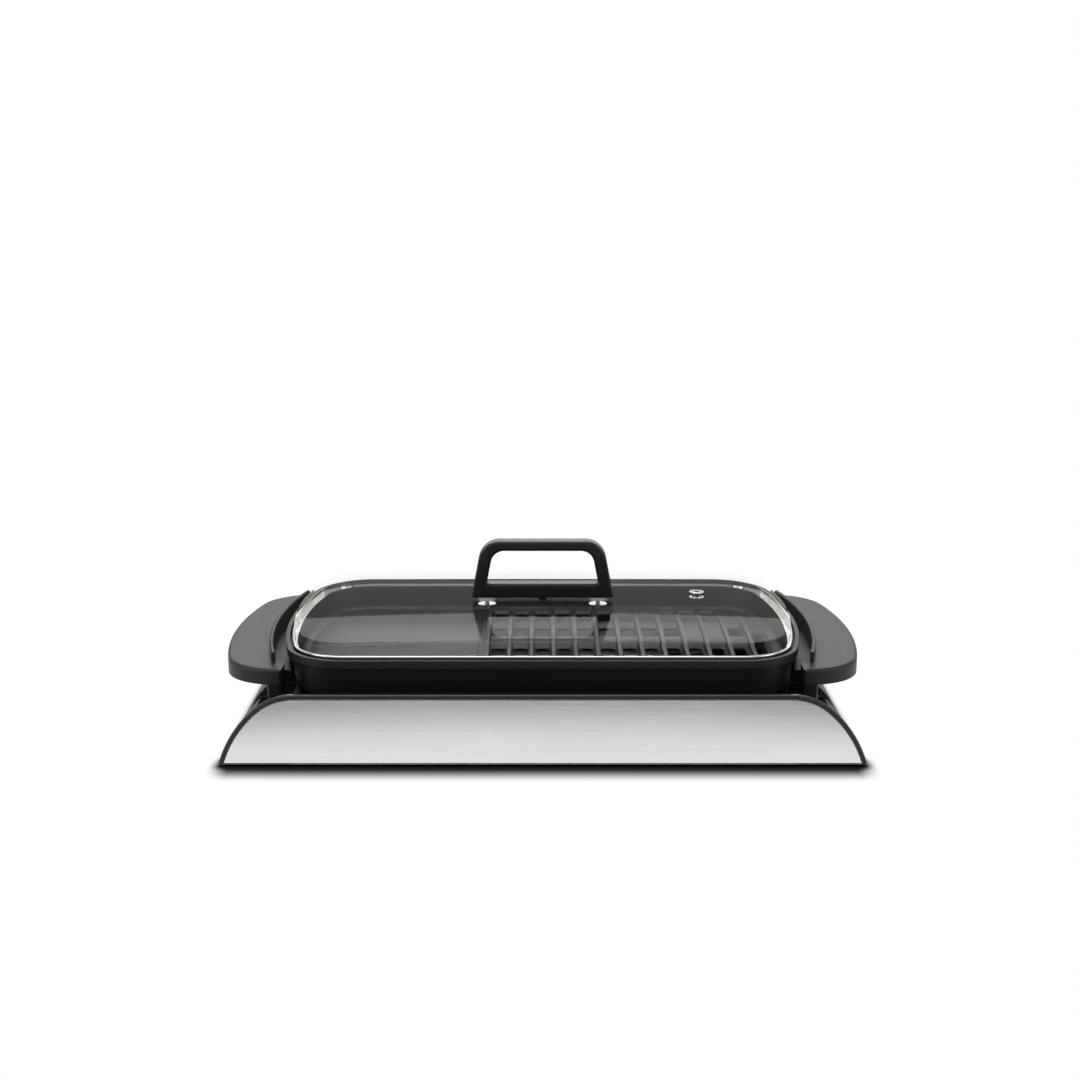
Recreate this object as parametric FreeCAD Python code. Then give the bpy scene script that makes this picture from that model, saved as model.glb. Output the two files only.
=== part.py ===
import FreeCAD, Part
import math
import os

V = FreeCAD.Vector
UP = V(0, 0, 1)

# Countertop smokeless grill in millimetres: X to the right, Y to the back, Z up.
# The origin is the middle of the footprint, on the table under the feet.
# The cooking plate sets the size: the other parts follow it by the margins named below.

# Cooking plate: cast aluminium
PLATE_W = 454.0
PLATE_D = 270.0
PLATE_END = PLATE_W / 2
PLATE_SIDE = PLATE_D / 2
PLATE_BOW = 420.0        # radius of the bowed ends
PLATE_CORNER = 52.0
PLATE_Z = 46.0           # underside
PLATE_H = 35.0
PLATE_FLOOR_T = 5.0
RIM_BAND_H = 6.5         # upper band that stands proud
RIM_BAND_OUT = 2.5
RIM_T = 3.5
LEDGE_DEEP = 6.0         # lid seat below the rim
LEDGE_WIDE = 4.5
WALL_DRAFT = 5.0         # outside wall leans in towards the bottom
BOWL_DRAFT = 4.0         # inside wall leans in towards the floor
BOWL_INSET = RIM_T + LEDGE_WIDE
BOWL_ROUND = 6.0
BOTTOM_ROUND = 4.0
PITCH = 20.0             # ribs and slot columns
RIB_COUNT = 13
LAST_SLOT_IN = 27.0      # last slot column from the plate's right end
FIRST_RIB_X = PLATE_END - LAST_SLOT_IN - PITCH / 2 - (RIB_COUNT - 1) * PITCH
GROOVE_GAP = 7.0         # groove before the first rib, between flat half and ribbed half
GROOVE_X = FIRST_RIB_X - GROOVE_GAP
GROOVE_W = 3.0
GROOVE_DEEP = 1.5
GRATE_RIB_W = 5.0
GRATE_RIB_TOP_W = 3.4
GRATE_RIB_H = 4.0
GRATE_MARGIN = 16.0      # ribs stop this far inside the bowl floor's outline
SLOT_W = 12.0
SLOT_L = 31.0
SLOT_ROUND = 3.5
SLOT_FLARE = 2.4         # funnel at the top of each slot
SLOT_FLARE_DEEP = 3.0
SLOT_END_GAP = 9.0       # from the outer slots to the bowl's wall
LONG_SLOT_L = 90.0       # single long slot in the last column
ROW_COLUMNS = {2: range(0, 11), 1: (0, 1, 2, 3, 4, 5, 6, 7, 8, 11), 0: range(0, 12)}
SLOTS_END_Y = PLATE_SIDE - BOWL_INSET - BOWL_DRAFT - SLOT_END_GAP
ROW_PITCH = (SLOTS_END_Y - SLOT_L / 2) / max(ROW_COLUMNS)

# Base: an arched moulding with a steel front
TOE_OUT = 38.0           # toes of the arch beyond the plate's ends
WALL_OUT = 30.0          # front and back walls beyond the plate's sides
BASE_W = PLATE_W + 2 * TOE_OUT
BASE_D = PLATE_D + 2 * WALL_OUT
ARCH_TOP = 61.0          # crown of the arch above the table
SHOULDER_RUN = 63.0      # from the end of the level crown to the toe
ARCH_FLAT = BASE_W - 2 * SHOULDER_RUN
SHOULDER_R = 50.0        # radius where the crown turns down
SHOULDER_TURN = 40.0     # degrees turned by that radius
FOOT_H = 2.0             # rubber feet under the floor
FOOT_R = 9.0
FOOT_IN_X = 80.0
FOOT_IN_Y = 25.0
LIP_T = 6.0              # front and back walls at the crown
LIP_ROUND = 1.8          # rounding along the crown's edges
WALL_FOOT_T = 15.0       # the same walls where they meet the floor
WALL_CORE_SKIN = 3.5     # skin left round the hollow inside those walls
SKIN_DROP = 2.5          # side skin lies this far inside the arch
SKIN_T = 3.0             # thickness of side skin and wells
FLOOR_T = 3.0
LEDGE_H = 3.0            # step in the floor along the back wall
LEDGE_W = 14.0
SEAT_OVERLAP = 21.0      # the plate's ends over the side decks
CAVITY_W = PLATE_W - 2 * SEAT_OVERLAP
SIDE_WALL_T = 3.0
DECK_OUT = 10.0          # level side decks beyond the plate's ends
DECK_X = PLATE_END + DECK_OUT
PLATE_RELIEF = 4.0       # room round the plate in the side skin
WELL_IN = 4.0            # foot wells beyond the cavity's sides
WELL_W = 26.0
WELL_X0 = CAVITY_W / 2 + WELL_IN
WELL_X1 = WELL_X0 + WELL_W
WELL_FLOOR = 34.0
WELL_FRONT = 19.0        # front wells behind the base's front
WELL_BRIDGE = 26.0       # deck left between front and back wells
FRONT_WELL_L = 65.0
BACK_WELL_L = 67.0
FRONT_WELL_Y = (WELL_FRONT - BASE_D / 2, WELL_FRONT + FRONT_WELL_L - BASE_D / 2)
BACK_WELL_Y = (FRONT_WELL_Y[1] + WELL_BRIDGE, FRONT_WELL_Y[1] + WELL_BRIDGE + BACK_WELL_L)
WELL_ROUND = 2.5
DECK_BACK = 4.0          # deck behind the back wells
DECK_BACK_Y = BACK_WELL_Y[1] + DECK_BACK
GATE_INSET = 3.0         # open side of each front well, inside the well's ends
GATE_FRONT = 26.0
GATE_FRONT_Y = FRONT_WELL_Y[0] + GATE_FRONT
PILLAR_W = 25.0          # corner pillars at the back of the cavity
PILLAR_D = 33.0
PILLAR_X0 = CAVITY_W / 2 - PILLAR_W
PILLAR_Y0 = BASE_D / 2 - PILLAR_D
PILLAR_TOP = 37.0
PILLAR_ROUND = 5.0
RIB_X = (-105.0, 22.0)   # upright ribs on the back wall
RIB_W = 2.5
RIB_TOP = 30.0
POCKET_W = 57.0          # room for the socket, right front, behind a partition
POCKET_D = 110.0
POCKET_X = CAVITY_W / 2 - POCKET_W
POCKET_Y = POCKET_D - BASE_D / 2
POCKET_SKEW = 19.0       # the partition's rear wall runs back by this much to the right
POCKET_TOP = 43.0
POCKET_T = 2.5
FASCIA_INSET = 4.0       # steel front lies inside the arch by this much
FASCIA_T = 1.0
FASCIA_SUNK = 0.4        # steel face behind the black lip
FASCIA_FIT = 0.2
FASCIA_RISE = 1.0        # lower edge above the moulding's lower edge

# Drip tray: pressed aluminium, left of the socket's pocket
TRAY_SIDE_GAP = 3.0      # left rim to the cavity's side
TRAY_POCKET_GAP = 36.0   # right rim to the partition
TRAY_END_GAP = 42.0      # front and back rims to the feet of the walls
TRAY_W = CAVITY_W / 2 + POCKET_X - TRAY_SIDE_GAP - TRAY_POCKET_GAP
TRAY_D = BASE_D - 2 * WALL_FOOT_T - 2 * TRAY_END_GAP
TRAY_X = TRAY_SIDE_GAP + TRAY_W / 2 - CAVITY_W / 2
TRAY_H = 15.0
TRAY_T = 1.0
TRAY_CORNER = 44.0
TRAY_FLARE = 7.0         # floor is smaller than the rim by this much all round
TRAY_ROUND = 4.0         # inner bend between floor and wall
TRAY_RIM_W = 2.6         # rolled rim
TRAY_RIM_H = 2.4
BOSS_DX = 56.0           # raised boss, right of the tray's middle
BOSS_FOOT_R = 17.0
BOSS_TOP_R = 13.0
BOSS_H = 5.5
PEG_CLEAR = 1.2          # room between the base's peg and the boss over it

# Side handles: moulded, screwed to lugs on the plate
HANDLE_REACH = 51.0      # beyond the plate's end
HANDLE_END_IN = 9.5      # handle's ends inside the plate's front and back
HANDLE_W = PLATE_W + 2 * HANDLE_REACH
HANDLE_D = PLATE_D - 2 * HANDLE_END_IN
HANDLE_BOW = 400.0
HANDLE_CORNER = 47.0
HANDLE_Z = 57.5          # underside
HANDLE_T = 13.5
HANDLE_GAP = 11.0        # from the plate's end to the handle
HANDLE_ROUND = 3.0
HANDLE_SKIN = 4.0
LIP_H = 9.0              # upright lip along the inner edge
LIP_THICK = 3.4
LIP_END_IN = 30.0        # lip's ends inside the plate's front and back
LIP_HALF_Y = PLATE_SIDE - LIP_END_IN
FOOT_ROOM_IN = 8.5       # room beside the handle's foot in its well
FOOT_ROOM_OUT = 4.5
FOOT_ROOM_FRONT = 27.0
HANDLE_FOOT_L = 22.0
HANDLE_FOOT_X = (WELL_X0 + FOOT_ROOM_IN, WELL_X1 - FOOT_ROOM_OUT)
HANDLE_FOOT_Y = (FRONT_WELL_Y[0] + FOOT_ROOM_FRONT, FRONT_WELL_Y[0] + FOOT_ROOM_FRONT + HANDLE_FOOT_L)
HANDLE_FOOT_Z = 35.0
HANDLE_FOOT_TAPER = 1.2
HANDLE_FOOT_ROUND = 2.5
STUB_OUT = 3.0           # short second foot, outside the well
STUB_BACK = 1.0          # behind the well's rear end
STUB_W = 11.0
STUB_L = 16.0
STUB_X = (WELL_X1 + STUB_OUT, WELL_X1 + STUB_OUT + STUB_W)
STUB_Y = (FRONT_WELL_Y[1] + STUB_BACK, FRONT_WELL_Y[1] + STUB_BACK + STUB_L)
STUB_Z = 44.5
LUG_STUB_GAP = 19.0      # plate lugs under each handle, clear of the short foot
LUG_Y = -STUB_Y[1] - LUG_STUB_GAP
LUG_W = 24.0
LUG_REACH = 31.0         # beyond the plate's end
LUG_T = 6.0
LUG_SCREW_IN = 11.0      # screw axis from the lug's tip
SCREW_R = 2.0
SCREW_HEAD_R = 4.2
SCREW_HEAD_H = 2.6
SCREW_DEEP = 9.0
SCREW_FIT = 0.06

# Heating element under the plate, with its socket in the base's pocket
TUBE_R = 3.5
TUBE_GAP = 0.1
TUBE_BEND = 14.0
TUBE_OFF = 5.0           # tube and strap screws either side of the middle between slot rows
LEG_OUT_Y = 1.5 * ROW_PITCH - TUBE_OFF
LEG_IN_Y = 0.5 * ROW_PITCH
LOOP_LEFT_IN = 35.0      # loop's ends inside the plate's ends
LOOP_RIGHT_IN = 59.0
LOOP_STEP = 72.0         # from the outer left bend to the inner one
LOOP_TURN = 29.0         # legs slant off to their rows this far left of the partition
LOOP_LEFT_X = LOOP_LEFT_IN - PLATE_END
LOOP_RIGHT_X = PLATE_END - LOOP_RIGHT_IN
LOOP_IN_X = LOOP_LEFT_X + LOOP_STEP
LOOP_CUT = 34.0          # slanted left corners of the loop
STRAP_X = (20.0, 140.0)
STRAP_W = 10.0
STRAP_T = 1.0
STRAP_BOSS_Y = 1.5 * ROW_PITCH + TUBE_OFF
STRAP_BOSS_R = 4.2
STRAP_END = 6.0          # strap beyond its screws
SOCKET_IN_X = 28.0       # socket's back to the partition
SOCKET_IN_Y = 48.0       # socket's axis behind the front end of the well
SOCKET_X0 = POCKET_X + SOCKET_IN_X
SOCKET_Y = FRONT_WELL_Y[0] + SOCKET_IN_Y
SOCKET_L = 25.0
SOCKET_W = 36.0
SOCKET_H = 16.0
SOCKET_T = 2.6
SOCKET_EAR = 14.0
PIN_PITCH = 18.0
PIN_R = 2.2
PIN_REACH = 22.0
PROBE_R = 3.0
PROBE_BORE = 2.2
PROBE_L = 42.0
NOTCH_GAP = 6.0          # cut in the partition round each element leg

# Wire bail in the right front well
BAIL_IN = 16.5           # from the well's inner side
BAIL_W = 10.0
BAIL_END = 2.0           # from the well's rear end
BAIL_X = WELL_X0 + BAIL_IN
BAIL_Y = (FRONT_WELL_Y[1] - BAIL_END - BAIL_W, FRONT_WELL_Y[1] - BAIL_END)
BAIL_WIRE_R = 0.9
BAIL_TOP = 54.0
BAIL_AXIS_Z = 37.5
BRACKET_W = 8.0
BRACKET_T = 1.2
PIVOT_FIT = 0.06

# Glass lid
SEAT_GAP = 0.3           # between parts that rest on each other
LID_FIT = 2.0            # room between lid and plate rim
LID_INSET = RIM_T + LID_FIT
LID_RIM_H = 8.0
LID_RIM_T = 1.4
LID_RIM_FLOOR = 1.2
LID_RIM_WIDE = 5.5
LID_RIM_ROUND = 1.0
GLASS_T = 4.0
GLASS_FIT = 0.1
GLASS_RISE = 15.0        # crown above the rim band
GLASS_CROWN = 3.5        # fall from the crown to the middle of each side
GLASS_ROUND = 5.0
GRIP_W = 128.0           # loop handle over its feet
GRIP_TOP_W = 108.0
GRIP_H = 52.0
GRIP_DEEP = 16.0
GRIP_TOP_BAR = 9.0
GRIP_LOW_BAR = 13.0
GRIP_LIMB = 11.5
GRIP_CORNER = 19.0
GRIP_WINDOW_CORNER = 12.0
GRIP_ROUND = 2.5
SEAT_X = 50.0            # silicone seats and screws under the grip
SEAT_W = 16.0
SEAT_D = 13.0
SEAT_H = 3.0
NUB_R = 3.5
GRIP_SCREW_R = 2.2
GRIP_SCREW_DEEP = 8.0
WASHER_R = 8.0
WASHER_T = 1.2
VENT_IN = 85.0           # from the plate's right end
VENT_X = PLATE_END - VENT_IN
VENT_Y = 30.0
VENT_R = 6.8
VENT_SLEEVE_R = 4.4
VENT_BORE_R = 2.4
VENT_FLANGE = 1.2

# Heights that follow from the sizes above
FLOOR_Z = FOOT_H + FLOOR_T
DECK_Z = PLATE_Z - SEAT_GAP
RIM_Z = PLATE_Z + PLATE_H
COOK_Z = PLATE_Z + PLATE_FLOOR_T
LEDGE_Z = RIM_Z - LEDGE_DEEP
TUBE_Z = PLATE_Z - TUBE_GAP - TUBE_R
LID_Z = LEDGE_Z + SEAT_GAP
CROWN_Z = LID_Z + LID_RIM_H + GLASS_RISE
GRIP_Z = CROWN_Z + SEAT_H


def box(x, y, z):
    """Block between the two values given on each axis."""
    return Part.makeBox(x[1] - x[0], y[1] - y[0], z[1] - z[0], V(x[0], y[0], z[0]))


def rod(radius, z0, z1, x=0.0, y=0.0):
    """Upright cylinder."""
    return Part.makeCylinder(radius, z1 - z0, V(x, y, z0), UP)


def prism(wire, height):
    """Flat wire raised into a solid."""
    return Part.Face(wire).extrude(V(0, 0, height))


def taper(low, high):
    """Solid with straight flanks between two like wires."""
    return Part.makeLoft([low, high], True, True)


def mirrored(shape):
    """The same piece on the other side, left for right."""
    return shape.mirror(V(0, 0, 0), V(1, 0, 0))


def on_both_sides(shape):
    """A piece and its left-right twin as one tool."""
    return shape.fuse(mirrored(shape))


def joined(shapes):
    """One solid from pieces that overlap or share faces."""
    first = shapes[0]
    return first.multiFuse(shapes[1:]).removeSplitter()


def polygon(points):
    """Closed wire through corner points."""
    return Part.makePolygon(points + [points[0]])


def bowed_wire(width, depth, bow, corner, z, inset=0.0):
    """Outline with straight long sides, bowed ends and round corners, offset inwards by inset."""
    half_w = width / 2 - inset
    half_d = depth / 2 - inset
    end_r = bow - inset
    corner_r = corner - inset
    end_x = half_w - end_r
    cy = half_d - corner_r
    cx = end_x + math.sqrt((end_r - corner_r) ** 2 - cy ** 2)
    reach = math.hypot(cx - end_x, cy)
    tip = V(end_x + (cx - end_x) / reach * end_r, cy / reach * end_r, z)
    turn = (math.pi / 2 + math.atan2(cy, cx - end_x)) / 2
    mid = V(cx + corner_r * math.cos(turn), cy + corner_r * math.sin(turn), z)
    side = V(cx, half_d, z)

    def at(p, sx, sy):
        return V(sx * p.x, sy * p.y, z)

    edges = []
    edges.append(Part.LineSegment(at(side, -1, -1), at(side, 1, -1)))
    edges.append(Part.Arc(at(side, 1, -1), at(mid, 1, -1), at(tip, 1, -1)))
    edges.append(Part.Arc(at(tip, 1, -1), V(half_w, 0, z), at(tip, 1, 1)))
    edges.append(Part.Arc(at(tip, 1, 1), at(mid, 1, 1), at(side, 1, 1)))
    edges.append(Part.LineSegment(at(side, 1, 1), at(side, -1, 1)))
    edges.append(Part.Arc(at(side, -1, 1), at(mid, -1, 1), at(tip, -1, 1)))
    edges.append(Part.Arc(at(tip, -1, 1), V(-half_w, 0, z), at(tip, -1, -1)))
    edges.append(Part.Arc(at(tip, -1, -1), at(mid, -1, -1), at(side, -1, -1)))
    return Part.Wire([e.toShape() for e in edges])


def plate_wire(z, inset=0.0):
    """The plate's outline, offset inwards by inset."""
    return bowed_wire(PLATE_W, PLATE_D, PLATE_BOW, PLATE_CORNER, z, inset)


def round_rect(width, depth, corner, x, y, z):
    """Rectangle with round corners about a centre."""
    block = Part.makeBox(width, depth, 1.0, V(x - width / 2, y - depth / 2, z))
    uprights = [e for e in block.Edges if abs(e.tangentAt(e.FirstParameter).z) > 0.5]
    rounded = block.makeFillet(corner, uprights)
    return min(rounded.Faces, key=lambda f: f.CenterOfMass.z).OuterWire


def level_edges(shape, z):
    """Edges of a shape that lie at one height."""
    return [e for e in shape.Edges if abs(e.BoundBox.ZMin - z) < 1e-4 and abs(e.BoundBox.ZMax - z) < 1e-4]


def upright_edges(shape):
    """Straight vertical edges of a shape."""
    return [e for e in shape.Edges if e.BoundBox.ZLength > 1e-3 and max(e.BoundBox.XLength, e.BoundBox.YLength) < 1e-4]


def arch_wire(inset, y):
    """The base's arched profile at one depth, offset inwards, standing on the lower edge."""
    turn = math.radians(SHOULDER_TURN)
    c1 = V(ARCH_FLAT / 2, 0, ARCH_TOP - SHOULDER_R)
    inward = V(-math.sin(turn), 0, -math.cos(turn))
    join = c1 - inward * SHOULDER_R
    toe = V(BASE_W / 2, 0, FOOT_H)
    run = toe - join
    r2 = run.Length ** 2 / (2 * inward.dot(run))
    c2 = join + inward * r2
    r1, r2 = SHOULDER_R - inset, r2 - inset
    low = math.asin((FOOT_H - c2.z) / r2)
    high = math.pi / 2 - turn

    def on_arc(c, r, angle, side):
        return V(side * (c.x + r * math.cos(angle)), y, c.z + r * math.sin(angle))

    edges = []
    for side in (1, -1):
        ends = [on_arc(c2, r2, low, side), on_arc(c2, r2, high, side), V(side * c1.x, y, ARCH_TOP - inset)]
        edges.append(Part.Arc(ends[0], on_arc(c2, r2, (low + high) / 2, side), ends[1]).toShape())
        edges.append(Part.Arc(ends[1], on_arc(c1, r1, (high + math.pi / 2) / 2, side), ends[2]).toShape())
    toes = [on_arc(c2, r2, low, side) for side in (-1, 1)]
    edges.append(Part.makeLine(toes[0], toes[1]))
    crown = ARCH_TOP - inset
    edges.append(Part.makeLine(V(-c1.x, y, crown), V(c1.x, y, crown)))
    return Part.Wire(Part.__sortEdges__(edges))


def arch_slab(inset, y0, y1):
    """The arched profile carried from one depth to another."""
    return Part.Face(arch_wire(inset, y0)).extrude(V(0, y1 - y0, 0))


def base_lip(side):
    """Front or back wall rim with rounded edges; side is -1 at the front and 1 at the back."""
    outer = side * BASE_D / 2
    slab = arch_slab(0.0, min(outer, outer - side * LIP_T), max(outer, outer - side * LIP_T))
    rounds = [e for e in slab.Edges if e.BoundBox.YLength < 1e-3 and e.BoundBox.ZMax > FOOT_H + 1.0]
    return slab.makeFillet(LIP_ROUND, rounds)


def base_cavity():
    """Open space between the walls, wider at the top than at the floor."""
    half_low = BASE_D / 2 - WALL_FOOT_T
    half_top = BASE_D / 2 - LIP_T
    x0 = -CAVITY_W / 2
    section = [V(x0, -half_low, FLOOR_Z), V(x0, half_low, FLOOR_Z)]
    section += [V(x0, half_top, ARCH_TOP), V(x0, half_top, ARCH_TOP + LIP_T)]
    section += [V(x0, -half_top, ARCH_TOP + LIP_T), V(x0, -half_top, ARCH_TOP)]
    return Part.Face(polygon(section)).extrude(V(CAVITY_W, 0, 0))


def wall_core(side):
    """Hollow inside the front or back wall, open below."""
    outer = BASE_D / 2 - WALL_CORE_SKIN - FASCIA_T
    inner = BASE_D / 2 - WALL_FOOT_T + WALL_CORE_SKIN
    slope = (WALL_FOOT_T - LIP_T) / (ARCH_TOP - FLOOR_Z)
    top = FLOOR_Z + (outer - inner) / slope
    x0 = -ARCH_FLAT / 2
    top = min(top, ARCH_TOP - LIP_T)
    section = [V(x0, side * inner, FOOT_H), V(x0, side * outer, FOOT_H), V(x0, side * outer, top)]
    return Part.Face(polygon(section)).extrude(V(ARCH_FLAT, 0, 0))


def foot_well(span, grow=0.0):
    """One foot well on the right, or its outer skin when grown."""
    floor = WELL_FLOOR - grow
    well = box((WELL_X0 - grow, WELL_X1 + grow), (span[0] - grow, span[1] + grow), (floor, ARCH_TOP + grow))
    rounds = upright_edges(well)
    return well.makeFillet(WELL_ROUND + grow, rounds)


def well_gate(grow=0.0):
    """Way out of the right front well through the side, or its outer skin when grown."""
    y = (GATE_FRONT_Y - grow, FRONT_WELL_Y[1] - GATE_INSET + grow)
    return box((WELL_X0 + WELL_ROUND, BASE_W / 2), y, (WELL_FLOOR - grow, ARCH_TOP + grow))


def side_hollow():
    """Space under the right side skin, open below, leaving the wells' skins."""
    half_y = BASE_D / 2 - LIP_T
    inside = arch_slab(SKIN_DROP + SKIN_T, -half_y, half_y)
    x0 = CAVITY_W / 2 + SIDE_WALL_T
    room = inside.common(box((x0, BASE_W / 2), (-half_y, half_y), (FOOT_H, DECK_Z - SKIN_T)))
    for span in (FRONT_WELL_Y, BACK_WELL_Y):
        room = room.cut(foot_well(span, SKIN_T))
    return room.cut(well_gate(SKIN_T))


def pocket_walls():
    """Partition that keeps drips off the socket."""
    front = -(BASE_D / 2 - WALL_FOOT_T / 2)
    right = CAVITY_W / 2 + SIDE_WALL_T / 2
    z = (FLOOR_Z - FLOOR_T / 2, POCKET_TOP)
    left_wall = box((POCKET_X, POCKET_X + POCKET_T), (front, POCKET_Y), z)
    low, high = POCKET_Y - POCKET_T, POCKET_Y
    corners = [V(POCKET_X, low, z[0]), V(right, low + POCKET_SKEW, z[0])]
    corners += [V(right, high + POCKET_SKEW, z[0]), V(POCKET_X, high, z[0])]
    rear_wall = prism(polygon(corners), z[1] - z[0])
    walls = left_wall.fuse(rear_wall)
    gap = TUBE_R + NOTCH_GAP / 2
    for y in pin_rows():
        x = (POCKET_X - POCKET_T, POCKET_X + 2 * POCKET_T)
        walls = walls.cut(box(x, (y - gap, y + gap), (TUBE_Z - gap, POCKET_TOP + POCKET_T)))
    return walls


def base_shell():
    """Black moulding: arch walls, side skins, decks, wells, pillars, partition and peg."""
    half_y = BASE_D / 2 - LIP_T / 2
    body = arch_slab(SKIN_DROP, -half_y, half_y)
    body = joined([body, base_lip(-1), base_lip(1)])
    body = body.cut(base_cavity())
    half_top = BASE_D / 2 - LIP_T
    deck = box((CAVITY_W / 2 - SKIN_T, DECK_X), (-half_top, DECK_BACK_Y), (DECK_Z, ARCH_TOP + LIP_T))
    relief = prism(plate_wire(DECK_Z, -PLATE_RELIEF), ARCH_TOP)
    cuts = [on_both_sides(deck), relief, on_both_sides(side_hollow()), wall_core(-1), wall_core(1)]
    for span in (FRONT_WELL_Y, BACK_WELL_Y):
        cuts.append(on_both_sides(foot_well(span)))
    cuts.append(on_both_sides(well_gate()))
    cuts.append(fascia_blank(0.0, FASCIA_SUNK + FASCIA_T + FASCIA_FIT / 2, -FASCIA_FIT))
    for cut in cuts:
        body = body.cut(cut)
    wall_y = BASE_D / 2 - LIP_T
    pillar = box((PILLAR_X0, CAVITY_W / 2 + SIDE_WALL_T / 2), (PILLAR_Y0, wall_y), (FOOT_H, PILLAR_TOP))
    pillar = pillar.makeFillet(PILLAR_ROUND, [e for e in upright_edges(pillar) if e.BoundBox.XMin < PILLAR_X0 + 1])
    half_low = BASE_D / 2 - WALL_FOOT_T
    ledge_x = CAVITY_W / 2
    ledge = box((-ledge_x, ledge_x), (half_low - LEDGE_W, wall_y), (FOOT_H, FLOOR_Z + LEDGE_H))
    adds = [body, on_both_sides(pillar), ledge, pocket_walls()]
    for x in RIB_X:
        adds.append(box((x, x + RIB_W), (half_low - RIB_W, wall_y), (FOOT_H, RIB_TOP)))
    peg = Part.makeCone(BOSS_FOOT_R - PEG_CLEAR - TRAY_T, BOSS_TOP_R - PEG_CLEAR - TRAY_T,
                        BOSS_H - PEG_CLEAR, V(TRAY_X + BOSS_DX, 0, FLOOR_Z - FLOOR_T), UP)
    adds.append(peg.common(rod(BOSS_FOOT_R, FLOOR_Z - FLOOR_T, FLOOR_Z + BOSS_H, TRAY_X + BOSS_DX, 0)))
    body = joined(adds)
    gap = NOTCH_GAP / 2
    x = (CAVITY_W / 2 - gap, WELL_X0 + gap)
    y = (SOCKET_Y - SOCKET_W / 2 - gap, SOCKET_Y + SOCKET_W / 2 - gap)
    notch = box(x, y, (WELL_FLOOR, ARCH_TOP))
    return body.cut(notch)


def fascia_blank(y_front, depth, shrink):
    """Arched sheet at the front; shrink trims its edges, negative for the recess that takes it."""
    y0 = -BASE_D / 2 + y_front
    sheet = arch_slab(FASCIA_INSET + shrink, y0, y0 + depth)
    trim = FOOT_H + FASCIA_RISE + shrink
    return sheet.cut(box((-BASE_W, BASE_W), (-BASE_D, 0), (0, trim)))


def base_feet():
    """Four rubber feet under the floor."""
    feet = []
    for sx in (-1, 1):
        for sy in (-1, 1):
            foot = rod(FOOT_R, 0.0, FOOT_H, sx * (BASE_W / 2 - FOOT_IN_X), sy * (BASE_D / 2 - FOOT_IN_Y))
            feet.append(foot.makeChamfer(FOOT_H / 4, level_edges(foot, 0.0)))
    return Part.makeCompound(feet)


def drip_tray():
    """Flared tray with a rolled rim and a raised boss that sits over the base's peg."""
    z0 = FLOOR_Z + SEAT_GAP
    z1 = z0 + TRAY_H

    def outline(inset, z):
        return round_rect(TRAY_W - 2 * inset, TRAY_D - 2 * inset, TRAY_CORNER - inset, TRAY_X, 0, z)

    wall = TRAY_RIM_W
    outer = taper(outline(TRAY_FLARE + wall, z0), outline(wall, z1))
    outer = outer.makeFillet(TRAY_ROUND + TRAY_T, level_edges(outer, z0))
    inner = taper(outline(TRAY_FLARE + wall + TRAY_T, z0 + TRAY_T), outline(wall + TRAY_T, z1))
    inner = inner.makeFillet(TRAY_ROUND, level_edges(inner, z0 + TRAY_T))
    rim = prism(outline(0.0, z1 - TRAY_RIM_H), TRAY_RIM_H)
    rim = rim.makeFillet(TRAY_RIM_H * 0.4, level_edges(rim, z1))
    rim = rim.cut(prism(outline(wall + TRAY_T, z1 - 2 * TRAY_RIM_H), 4 * TRAY_RIM_H))
    x = TRAY_X + BOSS_DX
    boss = Part.makeCone(BOSS_FOOT_R, BOSS_TOP_R, BOSS_H, V(x, 0, z0), UP)
    boss = boss.makeFillet(TRAY_T, level_edges(boss, z0 + BOSS_H))
    under = Part.makeCone(BOSS_FOOT_R - TRAY_T, BOSS_TOP_R - TRAY_T, BOSS_H - TRAY_T, V(x, 0, z0), UP)
    return joined([outer.cut(inner), rim, boss]).cut(under)


def slot_cut(x, y, length):
    """One drain slot with a funnel at its top, cut right through the plate's floor."""
    hole = prism(round_rect(SLOT_W, length, SLOT_ROUND, x, y, PLATE_Z - 1.0), PLATE_FLOOR_T + 2.0)
    half_w, half_l = SLOT_W / 2, length / 2

    def corners(grow, z):
        return polygon([V(x + sx * (half_w + grow), y + sy * (half_l + 2 * grow), z)
                        for sx, sy in ((-1, -1), (1, -1), (1, 1), (-1, 1))])

    funnel = taper(corners(0.0, COOK_Z - SLOT_FLARE_DEEP), corners(SLOT_FLARE, COOK_Z + 0.01))
    return hole.fuse(funnel)


def slot_places():
    """Centres and lengths of all drain slots."""
    places = []
    for row, columns in ROW_COLUMNS.items():
        for column in columns:
            x = FIRST_RIB_X + PITCH / 2 + column * PITCH
            for y in {row * ROW_PITCH, -row * ROW_PITCH}:
                places.append((x, y, SLOT_L))
    places.append((FIRST_RIB_X + PITCH / 2 + (RIB_COUNT - 1) * PITCH, 0.0, LONG_SLOT_L))
    return places


def grate_rib(x):
    """One tapered rib across the plate, left long at both ends."""
    half_d = PLATE_D / 2
    foot, top = GRATE_RIB_W / 2, GRATE_RIB_TOP_W / 2
    low, high = COOK_Z - 1.0, COOK_Z + GRATE_RIB_H
    section = [V(x - foot, -half_d, low), V(x + foot, -half_d, low), V(x + top, -half_d, high), V(x - top, -half_d, high)]
    return Part.Face(polygon(section)).extrude(V(0, PLATE_D, 0))


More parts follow.
